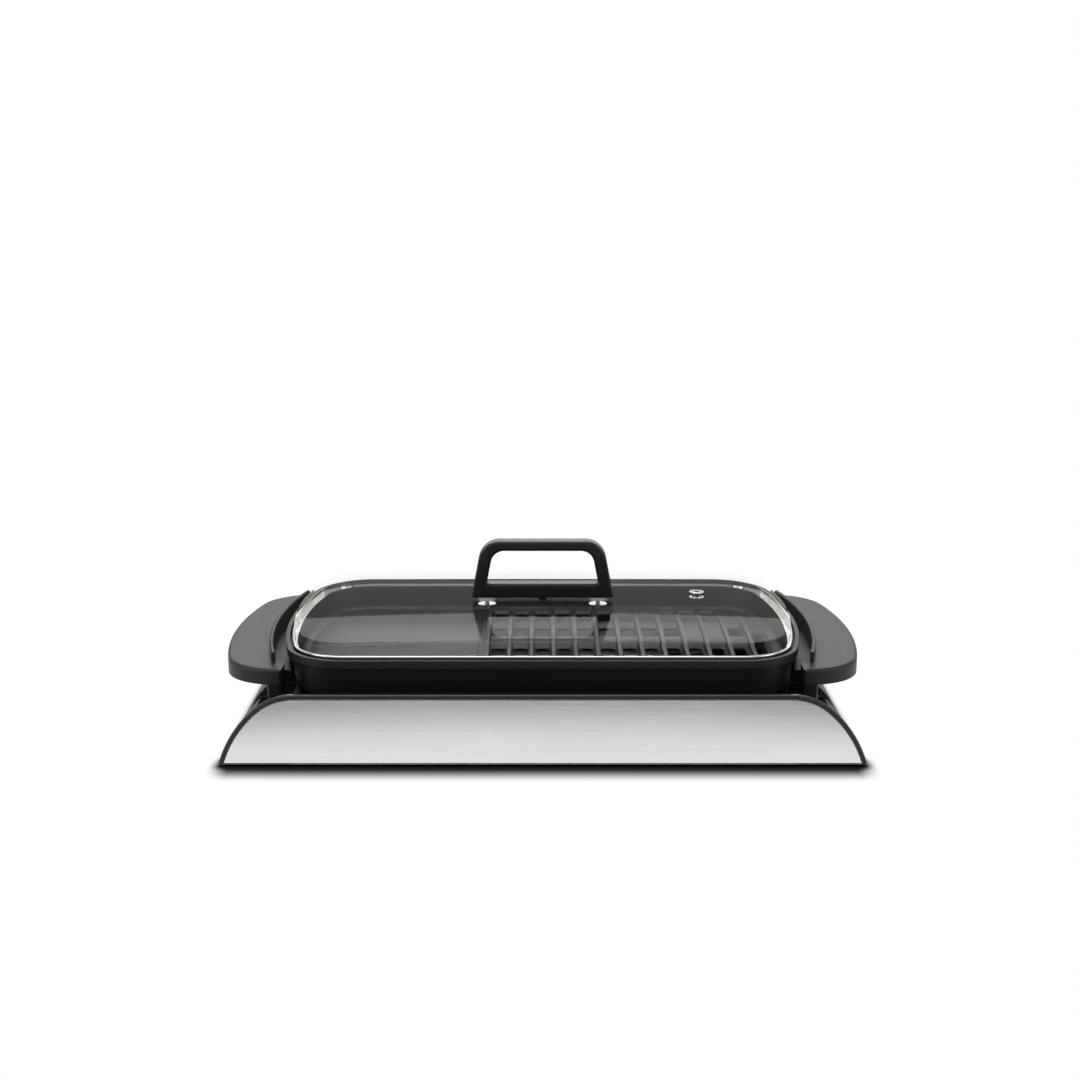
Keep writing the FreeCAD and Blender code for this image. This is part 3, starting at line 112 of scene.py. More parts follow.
class NodeSketch:
    """Small helper that places and wires nodes in one node tree."""

    def __init__(self, tree: bpy.types.NodeTree) -> None:
        """Work in the given tree."""
        self.tree = tree

    def add(self, kind: str, **settings: object) -> bpy.types.Node:
        """Place a node and set its properties.

        Args:
            kind: Blender's node type name.
            settings: Properties of the node, by name.

        Returns:
            The new node.
        """
        node = self.tree.nodes.new(kind)
        for name, value in settings.items():
            setattr(node, name, value)
        return node

    def feed(self, socket: Socket, value: object) -> None:
        """Link an output to a socket, or set the socket to a plain value.

        Args:
            socket: Input to feed.
            value: Output socket or plain value.
        """
        if isinstance(value, Socket):
            self.tree.links.new(value, socket)
        else:
            socket.default_value = value

    def fill(self, node: bpy.types.Node, **values: object) -> None:
        """Feed several inputs of a node, with the spaces in their names written as underscores."""
        for name, value in values.items():
            self.feed(node.inputs[name.replace("_", " ")], value)

    def math(self, operation: str, a: object, b: object = 0.0, clamp: bool = False) -> Socket:
        """One step of arithmetic.

        Args:
            operation: Name of the Math node's operation.
            a: First value or output.
            b: Second value or output.
            clamp: Hold the result between 0 and 1.

        Returns:
            The result's output socket.
        """
        node = self.add("ShaderNodeMath", operation=operation, use_clamp=clamp)
        self.feed(node.inputs[0], a)
        self.feed(node.inputs[1], b)
        return node.outputs[0]

    def scaled(self, vector: object, scale: Point) -> Socket:
        """Vector multiplied by a plain scale on each axis.

        Args:
            vector: Vector or output.
            scale: Factor on each axis.

        Returns:
            The scaled vector.
        """
        node = self.add("ShaderNodeVectorMath", operation="MULTIPLY")
        self.feed(node.inputs[0], vector)
        node.inputs[1].default_value = scale
        return node.outputs[0]

    def drawn_out(self, vector: object, along: Axis, share: float) -> Socket:
        """Vector squeezed along one axis, which draws a texture out into lines."""
        return self.scaled(vector, tuple(share if part else 1.0 for part in along.value))

    def axes(self, vector: object) -> tuple[Socket, ...]:
        """The x, y and z values of a vector.

        Args:
            vector: Vector or output.

        Returns:
            Three outputs.
        """
        node = self.add("ShaderNodeSeparateXYZ")
        self.feed(node.inputs[0], vector)
        return tuple(node.outputs)

    def noise(self, vector: object, scale: object, detail: float = 2.0,
              roughness: float = 0.5) -> Socket:
        """Noise value over a vector.

        Args:
            vector: Coordinates.
            scale: Cells per metre.
            detail: Octaves.
            roughness: Share of each finer octave.

        Returns:
            The noise's value output.
        """
        node = self.add("ShaderNodeTexNoise")
        self.fill(node, Vector=vector, Scale=scale, Detail=detail, Roughness=roughness)
        return node.outputs["Fac"]

    def span(self, value: object, low: object, high: object, to_low: object = 0.0,
             to_high: object = 1.0) -> Socket:
        """Value mapped from one span to another, held at the ends.

        Args:
            value: Value to map.
            low: Start of its span.
            high: End of its span.
            to_low: Result at the start.
            to_high: Result at the end.

        Returns:
            The mapped output.
        """
        node = self.add("ShaderNodeMapRange")
        self.fill(node, Value=value, From_Min=low, From_Max=high, To_Min=to_low, To_Max=to_high)
        return node.outputs["Result"]

    def vary(self, noise: object, middle: float, spread: Span) -> Socket:
        """Value that a noise moves about a middle.

        Args:
            noise: Output of a noise.
            middle: Value to start from.
            spread: How far it falls and how far it rises.

        Returns:
            The varied output.
        """
        return self.span(noise, *NOISE_SPAN, middle - spread[0], middle + spread[1])

    def between(self, factor: object, a: object, b: object) -> Socket:
        """Value between a and b.

        Args:
            factor: Share of b.
            a: First value or output.
            b: Second value or output.

        Returns:
            The value's output.
        """
        node = self.add("ShaderNodeMix", data_type="FLOAT")
        self.fill(node, Factor=factor, A=a, B=b)
        return node.outputs["Result"]

    def blend(self, factor: object, a: object, b: object) -> Socket:
        """Colour between a and b.

        Args:
            factor: Share of b.
            a: First colour or output.
            b: Second colour or output.

        Returns:
            The colour's output.
        """
        node = self.add("ShaderNodeMix", data_type="RGBA")
        self.feed(node.inputs["Factor"], factor)
        for name, value in (("A", a), ("B", b)):
            socket = next(s for s in node.inputs if s.name == name and s.type == "RGBA")
            self.feed(socket, (*value, 1.0) if isinstance(value, tuple) else value)
        return next(s for s in node.outputs if s.type == "RGBA")

    def bump(self, height: object, strength: float, distance: float,
             normal: Optional[object] = None) -> Socket:
        """Normal bent by a height.

        Args:
            height: Height output.
            strength: Share of the effect.
            distance: Height's size in metres.
            normal: Normal to start from.

        Returns:
            The bent normal.
        """
        node = self.add("ShaderNodeBump")
        self.fill(node, Strength=strength, Distance=distance, Height=height)
        if normal is not None:
            self.feed(node.inputs["Normal"], normal)
        return node.outputs["Normal"]

    def effect(self, effect: Effect, **values: object) -> Sockets:
        """Place one of the shared groups.

        Args:
            effect: Which group.
            values: Values for the group's inputs.

        Returns:
            The group's outputs, by name.
        """
        node = self.add("ShaderNodeGroup", node_tree=Effects.tree(effect))
        self.fill(node, **values)
        return node.outputs

    def show(self, factor: object, a: bpy.types.Node, b: bpy.types.Node) -> None:
        """Put a mix of two shaders out as the material's surface.

        Args:
            factor: Share of the second shader.
            a: First shader.
            b: Second shader.
        """
        mixed = self.add("ShaderNodeMixShader")
        for socket, value in zip(mixed.inputs, (factor, a.outputs[0], b.outputs[0])):
            self.feed(socket, value)
        output = next(n for n in self.tree.nodes if n.type == "OUTPUT_MATERIAL")
        self.feed(output.inputs["Surface"], mixed.outputs[0])


class Effects:
    """Shader node groups shared by the finishes, each built once."""

    grain_finer: ClassVar[float] = 2.6
    speckle_span: ClassVar[Span] = (0.62, 0.78)
    cloud_span: ClassVar[Span] = (0.32, 0.68)
    cloud_finer: ClassVar[float] = 9.0
    band_coarser: ClassVar[float] = 0.16
    scratch_bend: ClassVar[float] = 0.02
    scratch_bend_scale: ClassVar[float] = 22.0
    scratch_width: ClassVar[float] = 0.012
    patch_scale: ClassVar[float] = 35.0
    patch_span: ClassVar[Span] = (0.55, 0.7)
    wipe_scale: ClassVar[float] = 9.0
    edge_turn: ClassVar[Span] = (0.995, 0.82)
    edge_samples: ClassVar[int] = 4
    _built: ClassVar[dict[Effect, bpy.types.NodeTree]] = {}

    @classmethod
    def tree(cls, effect: Effect) -> bpy.types.NodeTree:
        """The effect's group, built at the first call.

        Args:
            effect: Which group.

        Returns:
            The group's node tree.
        """
        if effect not in cls._built:
            cls._built[effect] = getattr(cls, effect.value)()
        return cls._built[effect]

    @staticmethod
    def _open(effect: Effect, inputs: dict[str, float], outputs: tuple[str, ...],
              vectors_in: tuple[str, ...] = ("Vector",),
              vectors_out: tuple[str, ...] = ()) -> tuple[NodeSketch, bpy.types.Node, bpy.types.Node]:
        """Start a group with its inputs and outputs.

        Args:
            effect: Which group.
            inputs: Value inputs with their defaults.
            outputs: Names of the value outputs.
            vectors_in: Names of the vector inputs.
            vectors_out: Names of the vector outputs.

        Returns:
            The sketch, the group's input node and its output node.
        """
        tree = bpy.data.node_groups.new(effect.value, "ShaderNodeTree")
        for name in vectors_in:
            tree.interface.new_socket(name=name, in_out="INPUT", socket_type="NodeSocketVector")
        for name, value in inputs.items():
            socket = tree.interface.new_socket(name=name, in_out="INPUT", socket_type="NodeSocketFloat")
            socket.default_value = value
        for name in outputs:
            tree.interface.new_socket(name=name, in_out="OUTPUT", socket_type="NodeSocketFloat")
        for name in vectors_out:
            tree.interface.new_socket(name=name, in_out="OUTPUT", socket_type="NodeSocketVector")
        sketch = NodeSketch(tree)
        return sketch, sketch.add("NodeGroupInput"), sketch.add("NodeGroupOutput")

    @classmethod
    def spark_grain(cls) -> bpy.types.NodeTree:
        """Fine texture that a spark-eroded mould leaves: a height and a speckle mask.

        Returns:
            The finished group.
        """
        defaults = {"Scale": 1500.0, "Softness": 0.5}
        sketch, given, result = cls._open(Effect.SPARK_GRAIN, defaults, ("Height", "Speckle"))
        place, scale = given.outputs["Vector"], given.outputs["Scale"]
        coarse = sketch.noise(place, scale, detail=3.0, roughness=0.6)
        fine = sketch.noise(place, sketch.math("MULTIPLY", scale, cls.grain_finer), detail=1.0)
        soft = sketch.math("MULTIPLY", fine, given.outputs["Softness"])
        speckle = sketch.span(fine, *cls.speckle_span)
        sketch.fill(result, Height=sketch.math("ADD", coarse, soft), Speckle=speckle)
        return sketch.tree

    @classmethod
    def mottle(cls) -> bpy.types.NodeTree:
        """Slow cloudy change of tone with a finer second layer.

        Returns:
            The finished group.
        """
        defaults = {"Scale": 14.0, "Contrast": 0.5}
        sketch, given, result = cls._open(Effect.MOTTLE, defaults, ("Tone", "Fine"))
        place, scale = given.outputs["Vector"], given.outputs["Scale"]
        slow = sketch.noise(place, scale, detail=3.0, roughness=0.55)
        half = sketch.math("MULTIPLY", given.outputs["Contrast"], 0.5)
        low, high = sketch.math("SUBTRACT", 0.5, half), sketch.math("ADD", 0.5, half)
        fine = sketch.noise(place, sketch.math("MULTIPLY", scale, cls.cloud_finer))
        sketch.fill(result, Tone=sketch.span(slow, *cls.cloud_span, low, high), Fine=fine)
        return sketch.tree

    @classmethod
    def drawn_lines(cls) -> bpy.types.NodeTree:
        """Long hair lines; the vector comes in already squeezed along the lines.

        Returns:
            The finished group.
        """
        defaults = {"Scale": 2200.0, "Streak": 0.35}
        sketch, given, result = cls._open(Effect.DRAWN_LINES, defaults, ("Height", "Tone"))
        place, scale = given.outputs["Vector"], given.outputs["Scale"]
        hair = sketch.noise(place, scale, detail=3.0, roughness=0.62)
        band = sketch.noise(place, sketch.math("MULTIPLY", scale, cls.band_coarser))
        streak = sketch.math("MULTIPLY", band, given.outputs["Streak"])
        sketch.fill(result, Height=hair, Tone=sketch.math("ADD", hair, streak))
        return sketch.tree

    @classmethod
    def scuffs(cls) -> bpy.types.NodeTree:
        """Sparse short scratches and faint wipe marks as masks.

        Returns:
            The finished group.
        """
        defaults = {"Scale": 60.0, "Amount": 0.5}
        sketch, given, result = cls._open(Effect.SCUFFS, defaults, ("Scratch", "Wipe"))
        place = given.outputs["Vector"]
        waves = sketch.add("ShaderNodeTexNoise")
        sketch.fill(waves, Vector=place, Scale=cls.scratch_bend_scale)
        bent = sketch.add("ShaderNodeVectorMath", operation="MULTIPLY_ADD")
        for socket, value in zip(bent.inputs, (waves.outputs["Color"], (cls.scratch_bend,) * 3, place)):
            sketch.feed(socket, value)
        cells = sketch.add("ShaderNodeTexVoronoi", feature="DISTANCE_TO_EDGE")
        sketch.fill(cells, Vector=bent.outputs[0], Scale=given.outputs["Scale"])
        line = sketch.span(cells.outputs["Distance"], 0.0, cls.scratch_width, 1.0, 0.0)
        patch = sketch.span(sketch.noise(place, cls.patch_scale), *cls.patch_span)
        shown = sketch.math("MULTIPLY", sketch.math("MULTIPLY", line, patch), given.outputs["Amount"])
        wipe = sketch.noise(place, cls.wipe_scale, detail=4.0, roughness=0.6)
        sketch.fill(result, Scratch=shown, Wipe=wipe)
        return sketch.tree

    @classmethod
    def edge_round(cls) -> bpy.types.NodeTree:
        """Softened normal of a moulded edge, and a mask of the edges that the finishes paint paler: partly
        wear, partly painted highlight.

        Returns:
            The finished group.
        """
        defaults = {"Radius": 0.0006}
        sketch, given, result = cls._open(Effect.EDGE_ROUND, defaults, ("Mask",), (), ("Normal",))
        rounded = sketch.add("ShaderNodeBevel", samples=cls.edge_samples)
        sketch.fill(rounded, Radius=given.outputs["Radius"])
        sharp = sketch.add("ShaderNodeNewGeometry")
        turn = sketch.add("ShaderNodeVectorMath", operation="DOT_PRODUCT")
        sketch.feed(turn.inputs[0], rounded.outputs["Normal"])
        sketch.feed(turn.inputs[1], sharp.outputs["Normal"])
        mask = sketch.span(turn.outputs["Value"], *cls.edge_turn)
        sketch.fill(result, Mask=mask, Normal=rounded.outputs["Normal"])
        return sketch.tree


class Finish:
    """A surface finish that makes its own material once."""

    def material(self, slot: Slot) -> bpy.types.Material:
        """The material of a slot that wears this finish, made at the first call.

        Args:
            slot: Slot that gives the material its name.

        Returns:
            The material.
        """
        name = slot.value + "_finish"
        found = bpy.data.materials.get(name)
        if found is not None:
            return found
        made = bpy.data.materials.new(name)
        made.use_nodes = True
        sketch = NodeSketch(made.node_tree)
        shader = made.node_tree.nodes["Principled BSDF"]
        place = sketch.add("ShaderNodeTexCoord").outputs["Object"]
        self.dress(sketch, shader, place)
        return made

    def dress(self, sketch: NodeSketch, shader: bpy.types.Node, place: Socket) -> None:
        """Wire the finish's own nodes into the shader.

        Args:
            sketch: Tree of the material.
            shader: The material's Principled BSDF.
            place: Coordinates in metres.
        """
        raise NotImplementedError


@dataclass(frozen=True)
class MouldedPlastic(Finish):
    """Black moulding with a mould grain, soft cloudiness and paler edges: partly wear, partly painted
    highlight.
    """

    color: Color
    roughness: float
    grain: float = 0.35
    grain_scale: float = 1300.0
    grain_depth: float = 0.00006
    edge: float = 0.35
    # Paler edge colour: partly wear, partly painted highlight
    edge_wear_and_highlight_color: Color = (0.09, 0.09, 0.092)
    edge_radius: float = 0.0009
    gloss_half_width: float = 0.0
    gloss_border: float = 0.002
    gloss_roughness: float = 0.12
    rough_spread: Span = (0.015, 0.02)
    specular: float = 0.5
    ior: float = 1.49
    cloud: float = 0.3
    cloud_scale: float = 16.0
    paler: float = 1.5

    def dress(self, sketch: NodeSketch, shader: bpy.types.Node, place: Socket) -> None:
        """Grain, cloudiness, paler edges (partly wear, partly painted highlight) and, inside a half width, a
        glossier skin whose edges carry the full painted highlight.

        Args:
            sketch: Tree of the material.
            shader: The material's Principled BSDF.
            place: Coordinates in metres.
        """
        cloud = sketch.effect(Effect.MOTTLE, Vector=place, Scale=self.cloud_scale, Contrast=self.cloud)
        grain = sketch.effect(Effect.SPARK_GRAIN, Vector=place, Scale=self.grain_scale)
        edge = sketch.effect(Effect.EDGE_ROUND, Radius=self.edge_radius)
        tone = sketch.blend(cloud["Tone"], self.color, toned(self.color, self.paler))
        rough = sketch.vary(cloud["Fine"], self.roughness, self.rough_spread)
        height = grain["Height"]
        edge_wear_and_highlight = self.edge
        if self.gloss_half_width > 0.0:
            across = sketch.math("ABSOLUTE", sketch.axes(place)[0])
            border = self.gloss_half_width + self.gloss_border
            inside = sketch.span(across, self.gloss_half_width, border, 1.0, 0.0)
            rough = sketch.between(inside, rough, self.gloss_roughness)
            height = sketch.math("MULTIPLY", height, sketch.math("SUBTRACT", 1.0, inside))
            # Inside the half width the edges are painted fully pale: painted highlight along the cavity's
            # edges
            edge_wear_and_highlight = sketch.span(inside, 0.0, 1.0, self.edge, 1.0)
        # Pale edge colour over the edge mask: partly wear, partly painted highlight
        worn_and_lit_edges = sketch.math("MULTIPLY", edge["Mask"], edge_wear_and_highlight)
        normal = sketch.bump(height, self.grain, self.grain_depth, edge["Normal"])
        sketch.fill(shader, Base_Color=sketch.blend(worn_and_lit_edges, tone, self.edge_wear_and_highlight_color), Roughness=rough,
                    IOR=self.ior, Specular_IOR_Level=self.specular, Normal=normal)


@dataclass(frozen=True)
class CastCoating(Finish):
    """Non-stick coating on a casting: near black, fine orange-peel and mineral sparkle."""

    color: Color = (0.0075, 0.0075, 0.0076)
    fleck: Color = (0.024, 0.024, 0.0245)
    fleck_share: float = 0.5
    roughness: float = 0.47
    rough_spread: Span = (0.05, 0.06)
    specular: float = 0.38
    ior: float = 1.45
    peel: float = 0.06
    peel_scale: float = 900.0
    peel_softness: float = 0.8
    peel_depth: float = 0.00005
    edge: float = 0.45
    # Paler edge colour: partly wear, partly painted highlight
    edge_wear_and_highlight_color: Color = (0.16, 0.16, 0.158)
    edge_radius: float = 0.0008
    cloud: float = 0.8
    cloud_scale: float = 11.0

    def dress(self, sketch: NodeSketch, shader: bpy.types.Node, place: Socket) -> None:
        """Orange-peel height, flecks, cloudy gloss and paler edges, partly wear and partly painted highlight.

        Args:
            sketch: Tree of the material.
            shader: The material's Principled BSDF.
            place: Coordinates in metres.
        """
        peel = sketch.effect(Effect.SPARK_GRAIN, Vector=place, Scale=self.peel_scale,
                             Softness=self.peel_softness)
        cloud = sketch.effect(Effect.MOTTLE, Vector=place, Scale=self.cloud_scale, Contrast=self.cloud)
        edge = sketch.effect(Effect.EDGE_ROUND, Radius=self.edge_radius)
        flecks = sketch.math("MULTIPLY", peel["Speckle"], self.fleck_share)
        tone = sketch.blend(flecks, self.color, self.fleck)
        # Pale edge colour over the edge mask: partly wear, partly painted highlight
        worn_and_lit_edges = sketch.math("MULTIPLY", edge["Mask"], self.edge)
        smoothest, roughest = self.roughness - self.rough_spread[0], self.roughness + self.rough_spread[1]
        rough = sketch.span(cloud["Tone"], 0.0, 1.0, smoothest, roughest)
        normal = sketch.bump(peel["Height"], self.peel, self.peel_depth, edge["Normal"])
        sketch.fill(shader, Base_Color=sketch.blend(worn_and_lit_edges, tone, self.edge_wear_and_highlight_color), Roughness=rough,
                    IOR=self.ior, Specular_IOR_Level=self.specular, Normal=normal)


@dataclass(frozen=True)
class DrawnMetal(Finish):
    """Bare metal with hair lines along one axis, sparse scratches and wipe marks."""

    color: Color
    dark: Color
    roughness: float
    along: Axis
    lines: float = 0.5
    line_scale: float = 1700.0
    line_squeeze: float = 0.012
    line_depth: float = 0.00004
    tone_span: Span = (0.45, 0.85)
    rough_spread: Span = (0.06, 0.07)
    wipe_spread: Span = (0.03, 0.05)
    scratches: float = 0.35
    scratch_scale: float = 45.0
    scratch_color: Color = (0.9, 0.9, 0.9)
    edge_radius: float = 0.0005

    def dress(self, sketch: NodeSketch, shader: bpy.types.Node, place: Socket) -> None:
        """Lines squeezed along the axis drive tone, gloss and a fine height.

        Args:
            sketch: Tree of the material.
            shader: The material's Principled BSDF.
            place: Coordinates in metres.
        """
        drawn = sketch.drawn_out(place, self.along, self.line_squeeze)
        lines = sketch.effect(Effect.DRAWN_LINES, Vector=drawn, Scale=self.line_scale)
        marks = sketch.effect(Effect.SCUFFS, Vector=place, Scale=self.scratch_scale, Amount=self.scratches)
        edge = sketch.effect(Effect.EDGE_ROUND, Radius=self.edge_radius)
        tone = sketch.blend(sketch.span(lines["Tone"], *self.tone_span), self.dark, self.color)
        tone = sketch.blend(marks["Scratch"], tone, self.scratch_color)
        rough = sketch.vary(lines["Height"], self.roughness, self.rough_spread)
        wiped = sketch.vary(marks["Wipe"], 0.0, self.wipe_spread)
        normal = sketch.bump(lines["Height"], self.lines, self.line_depth, edge["Normal"])
        sketch.fill(shader, Base_Color=tone, Metallic=1.0, Normal=normal,
                    Roughness=sketch.math("ADD", rough, wiped, clamp=True))


@dataclass(frozen=True)
class PolishedMetal(Finish):
    """Bright metal with a cloudy tone, faint wipe marks and hair scratches."""

    color: Color
    roughness: float
    tint: Color = (0.45, 0.43, 0.4)
    rough_spread: Span = (0.03, 0.07)
    cloud: float = 0.6
    cloud_scale: float = 30.0
    scratches: float = 0.4
    scratch_scale: float = 80.0
    relief: float = 0.04
    relief_depth: float = 0.00005

    def dress(self, sketch: NodeSketch, shader: bpy.types.Node, place: Socket) -> None:
        """Cloudy tone, wipe marks in the gloss and hair scratches in the height.

        Args:
            sketch: Tree of the material.
            shader: The material's Principled BSDF.
            place: Coordinates in metres.
        """
        cloud = sketch.effect(Effect.MOTTLE, Vector=place, Scale=self.cloud_scale, Contrast=self.cloud)
        marks = sketch.effect(Effect.SCUFFS, Vector=place, Scale=self.scratch_scale, Amount=self.scratches)
        height = sketch.math("ADD", cloud["Fine"], marks["Scratch"])
        sketch.fill(shader, Base_Color=sketch.blend(cloud["Tone"], self.tint, self.color), Metallic=1.0,
                    Roughness=sketch.vary(marks["Wipe"], self.roughness, self.rough_spread),
                    Normal=sketch.bump(height, self.relief, self.relief_depth))


@dataclass(frozen=True)
class PressedAluminium(Finish):
    """Mill-finish sheet: faint rolling lines, soft press marks and pale scratches."""

    color: Color = (0.84, 0.84, 0.83)
    dark: Color = (0.73, 0.73, 0.722)
    metal: float = 0.72
    roughness: float = 0.5
    rough_spread: Span = (0.05, 0.07)
    line_scale: float = 1100.0
    line_squeeze: float = 0.02
    line_height: float = 0.6
    cloud: float = 0.9
    cloud_scale: float = 18.0
    scratches: float = 0.5
    scratch_scale: float = 38.0
    scratch_color: Color = (0.93, 0.93, 0.92)
    grain_scale: float = 1800.0
    speck: float = 0.25
    speck_color: Color = (0.5, 0.5, 0.49)
    relief: float = 0.22
    relief_depth: float = 0.00005

    def dress(self, sketch: NodeSketch, shader: bpy.types.Node, place: Socket) -> None:
        """Rolling lines, cloudy press marks, specks and scratches.

        Args:
            sketch: Tree of the material.
            shader: The material's Principled BSDF.
            place: Coordinates in metres.
        """
        drawn = sketch.drawn_out(place, Axis.X, self.line_squeeze)
        lines = sketch.effect(Effect.DRAWN_LINES, Vector=drawn, Scale=self.line_scale)
        cloud = sketch.effect(Effect.MOTTLE, Vector=place, Scale=self.cloud_scale, Contrast=self.cloud)
        marks = sketch.effect(Effect.SCUFFS, Vector=place, Scale=self.scratch_scale, Amount=self.scratches)
        grain = sketch.effect(Effect.SPARK_GRAIN, Vector=place, Scale=self.grain_scale)
        both = sketch.math("ADD", cloud["Tone"], lines["Height"])
        tone = sketch.blend(sketch.math("MULTIPLY", both, 0.5), self.dark, self.color)
        tone = sketch.blend(sketch.math("MULTIPLY", grain["Speckle"], self.speck), tone, self.speck_color)
        tone = sketch.blend(marks["Scratch"], tone, self.scratch_color)
        ridges = sketch.math("MULTIPLY", lines["Height"], self.line_height)
        height = sketch.math("ADD", ridges, grain["Height"])
        sketch.fill(shader, Base_Color=tone, Metallic=self.metal,
                    Roughness=sketch.vary(cloud["Fine"], self.roughness, self.rough_spread),
                    Normal=sketch.bump(height, self.relief, self.relief_depth))


@dataclass(frozen=True)
class ClearGlass(Finish):
    """Tempered clear glass with faint wipe marks; lamps and mirrored light shine through it."""

    color: Color = (0.988, 0.99, 0.989)
    clear_color: Color = (0.972, 0.975, 0.973)
    darker: float = 0.985
    bend: float = 1.01
    sheen: float = 0.18
    sheen_roughness: float = 0.02
    wipe_span: Span = (0.45, 0.75)
    wipe_roughness: float = 0.018
    cloud: float = 0.5
    cloud_scale: float = 7.0

    def dress(self, sketch: NodeSketch, shader: bpy.types.Node, place: Socket) -> None:
        """Clear body, faint marks in the gloss and a straight way through for lamps and mirrored light.

        Args:
            sketch: Tree of the material.
            shader: The material's Principled BSDF.
            place: Coordinates in metres.
        """
        marks = sketch.effect(Effect.SCUFFS, Vector=place)
        cloud = sketch.effect(Effect.MOTTLE, Vector=place, Scale=self.cloud_scale, Contrast=self.cloud)
        tone = sketch.blend(cloud["Tone"], self.color, toned(self.color, self.darker))
        rough = sketch.span(marks["Wipe"], *self.wipe_span, 0.0, self.wipe_roughness)
        sketch.fill(shader, Base_Color=tone, Roughness=rough, IOR=self.bend, Transmission_Weight=1.0,
                    Coat_Weight=self.sheen, Coat_Roughness=self.sheen_roughness)
        clear = sketch.add("ShaderNodeBsdfTransparent")
        clear.inputs["Color"].default_value = (*self.clear_color, 1.0)
        path = sketch.add("ShaderNodeLightPath")
        soft = sketch.math("MAXIMUM", path.outputs["Is Shadow Ray"], path.outputs["Is Diffuse Ray"])
        sketch.show(sketch.math("MAXIMUM", soft, path.outputs["Is Glossy Ray"]), shader, clear)


@dataclass(frozen=True)
class SoftRubber(Finish):
    """Matte rubber or silicone with a powdery skin."""

    color: Color
    roughness: float = 0.62
    rough_spread: Span = (0.06, 0.08)
    cloud: float = 0.8
    cloud_scale: float = 60.0
    paler: float = 1.35
    grain: float = 0.3
    grain_scale: float = 2200.0
    grain_depth: float = 0.00005

    def dress(self, sketch: NodeSketch, shader: bpy.types.Node, place: Socket) -> None:
        """Powdery tone and a fine skin.

        Args:
            sketch: Tree of the material.
            shader: The material's Principled BSDF.
            place: Coordinates in metres.
        """
        cloud = sketch.effect(Effect.MOTTLE, Vector=place, Scale=self.cloud_scale, Contrast=self.cloud)
        grain = sketch.effect(Effect.SPARK_GRAIN, Vector=place, Scale=self.grain_scale)
        tone = sketch.blend(cloud["Tone"], self.color, toned(self.color, self.paler))
        sketch.fill(shader, Base_Color=tone,
                    Roughness=sketch.vary(cloud["Fine"], self.roughness, self.rough_spread),
                    Normal=sketch.bump(grain["Height"], self.grain, self.grain_depth))


FINISHES: dict[Slot, Finish] = {
    # Base plastic's pale edge colour paints highlights along its edges, fully so inside the cavity
    Slot.BASE_PLASTIC: MouldedPlastic((0.013, 0.013, 0.0132), 0.44, edge=0.5, edge_wear_and_highlight_color=(0.5, 0.5, 0.5),
                                      gloss_half_width=0.2055, specular=0.27),
    Slot.FASCIA_STEEL: DrawnMetal((0.8, 0.8, 0.797), (0.7, 0.7, 0.697), 0.26, Axis.X, lines=0.4,
                                  line_scale=3400.0, scratches=0.1),
    Slot.FOOT_RUBBER: SoftRubber((0.02, 0.02, 0.021)),
    Slot.BRIGHT_WIRE: PolishedMetal((0.78, 0.775, 0.76), 0.1),
    Slot.TRAY_ALUMINIUM: PressedAluminium(),
    Slot.PLATE_COATING: CastCoating(),
    Slot.HANDLE_PLASTIC: MouldedPlastic((0.009, 0.009, 0.0092), 0.44, grain=0.4, grain_scale=1000.0,
                                        specular=0.3, cloud=0.1),
    Slot.ELEMENT_STEEL: DrawnMetal((0.33, 0.32, 0.31), (0.2, 0.19, 0.185), 0.42, Axis.X, lines=0.3),
    Slot.STRAP_STEEL: DrawnMetal((0.62, 0.61, 0.59), (0.45, 0.44, 0.43), 0.36, Axis.Y, lines=0.4),
    Slot.SCREW_STEEL: PolishedMetal((0.66, 0.655, 0.64), 0.22),
    Slot.SOCKET_PLASTIC: MouldedPlastic((0.028, 0.027, 0.026), 0.5, grain=0.4, grain_scale=1600.0),
    Slot.PIN_METAL: PolishedMetal((0.72, 0.7, 0.66), 0.18),
    Slot.LID_GLASS: ClearGlass(),
    Slot.RIM_STEEL: PolishedMetal((0.66, 0.635, 0.605), 0.11, tint=(0.52, 0.5, 0.47)),
    Slot.GRIP_PLASTIC: MouldedPlastic((0.007, 0.007, 0.0072), 0.24, grain=0.2, grain_scale=1500.0,
                                      specular=0.3),
    Slot.SEAT_SILICONE: SoftRubber((0.3, 0.31, 0.315)),
}


@dataclass
class SubAssembly:
    """A group of CAD nodes on one body, with the pieces that Blender adds to them."""

    body: Body
    dressed: dict[str, Slot]

    def dress(self) -> None:
        """Give each carried-over CAD node its finish."""
        for node, slot in self.dressed.items():
            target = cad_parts[node]
            target.data.materials.clear()
            target.data.materials.append(FINISHES[slot].material(slot))
            log.info("%s wears %s", node, slot.value)

    def build(self) -> None:
        """Add the pieces that only Blender makes."""

    def add(self, name: str, mesh: Mesh, slot: Slot, smooth_below: float = 35.0,
            instead_of: Optional[str] = None) -> bpy.types.Object:
        """Turn a finished bmesh into a piece that rides on this body.

        Args:
            name: Name of the piece.
            mesh: Its shape in the frame, freed here.
            slot: Finish slot.
            smooth_below: Edges sharper than this many degrees stay sharp.
            instead_of: Node that the piece stands for.

        Returns:
            The new piece.
        """
        data = bpy.data.meshes.new(name)
        bmesh.ops.recalc_face_normals(mesh, faces=mesh.faces)
        mesh.to_mesh(data)
        mesh.free()
        data.polygons.foreach_set("use_smooth", [True] * len(data.polygons))
        data.set_sharp_from_angle(angle=math.radians(smooth_below))
        piece = bpy.data.objects.new(name, data)
        bpy.context.scene.collection.objects.link(piece)
        data.materials.append(FINISHES[slot].material(slot))
        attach(piece, self.body.value)
        if instead_of is not None:
            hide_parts(instead_of)
        log.info("%s added on %s", name, self.body.value)
        return piece


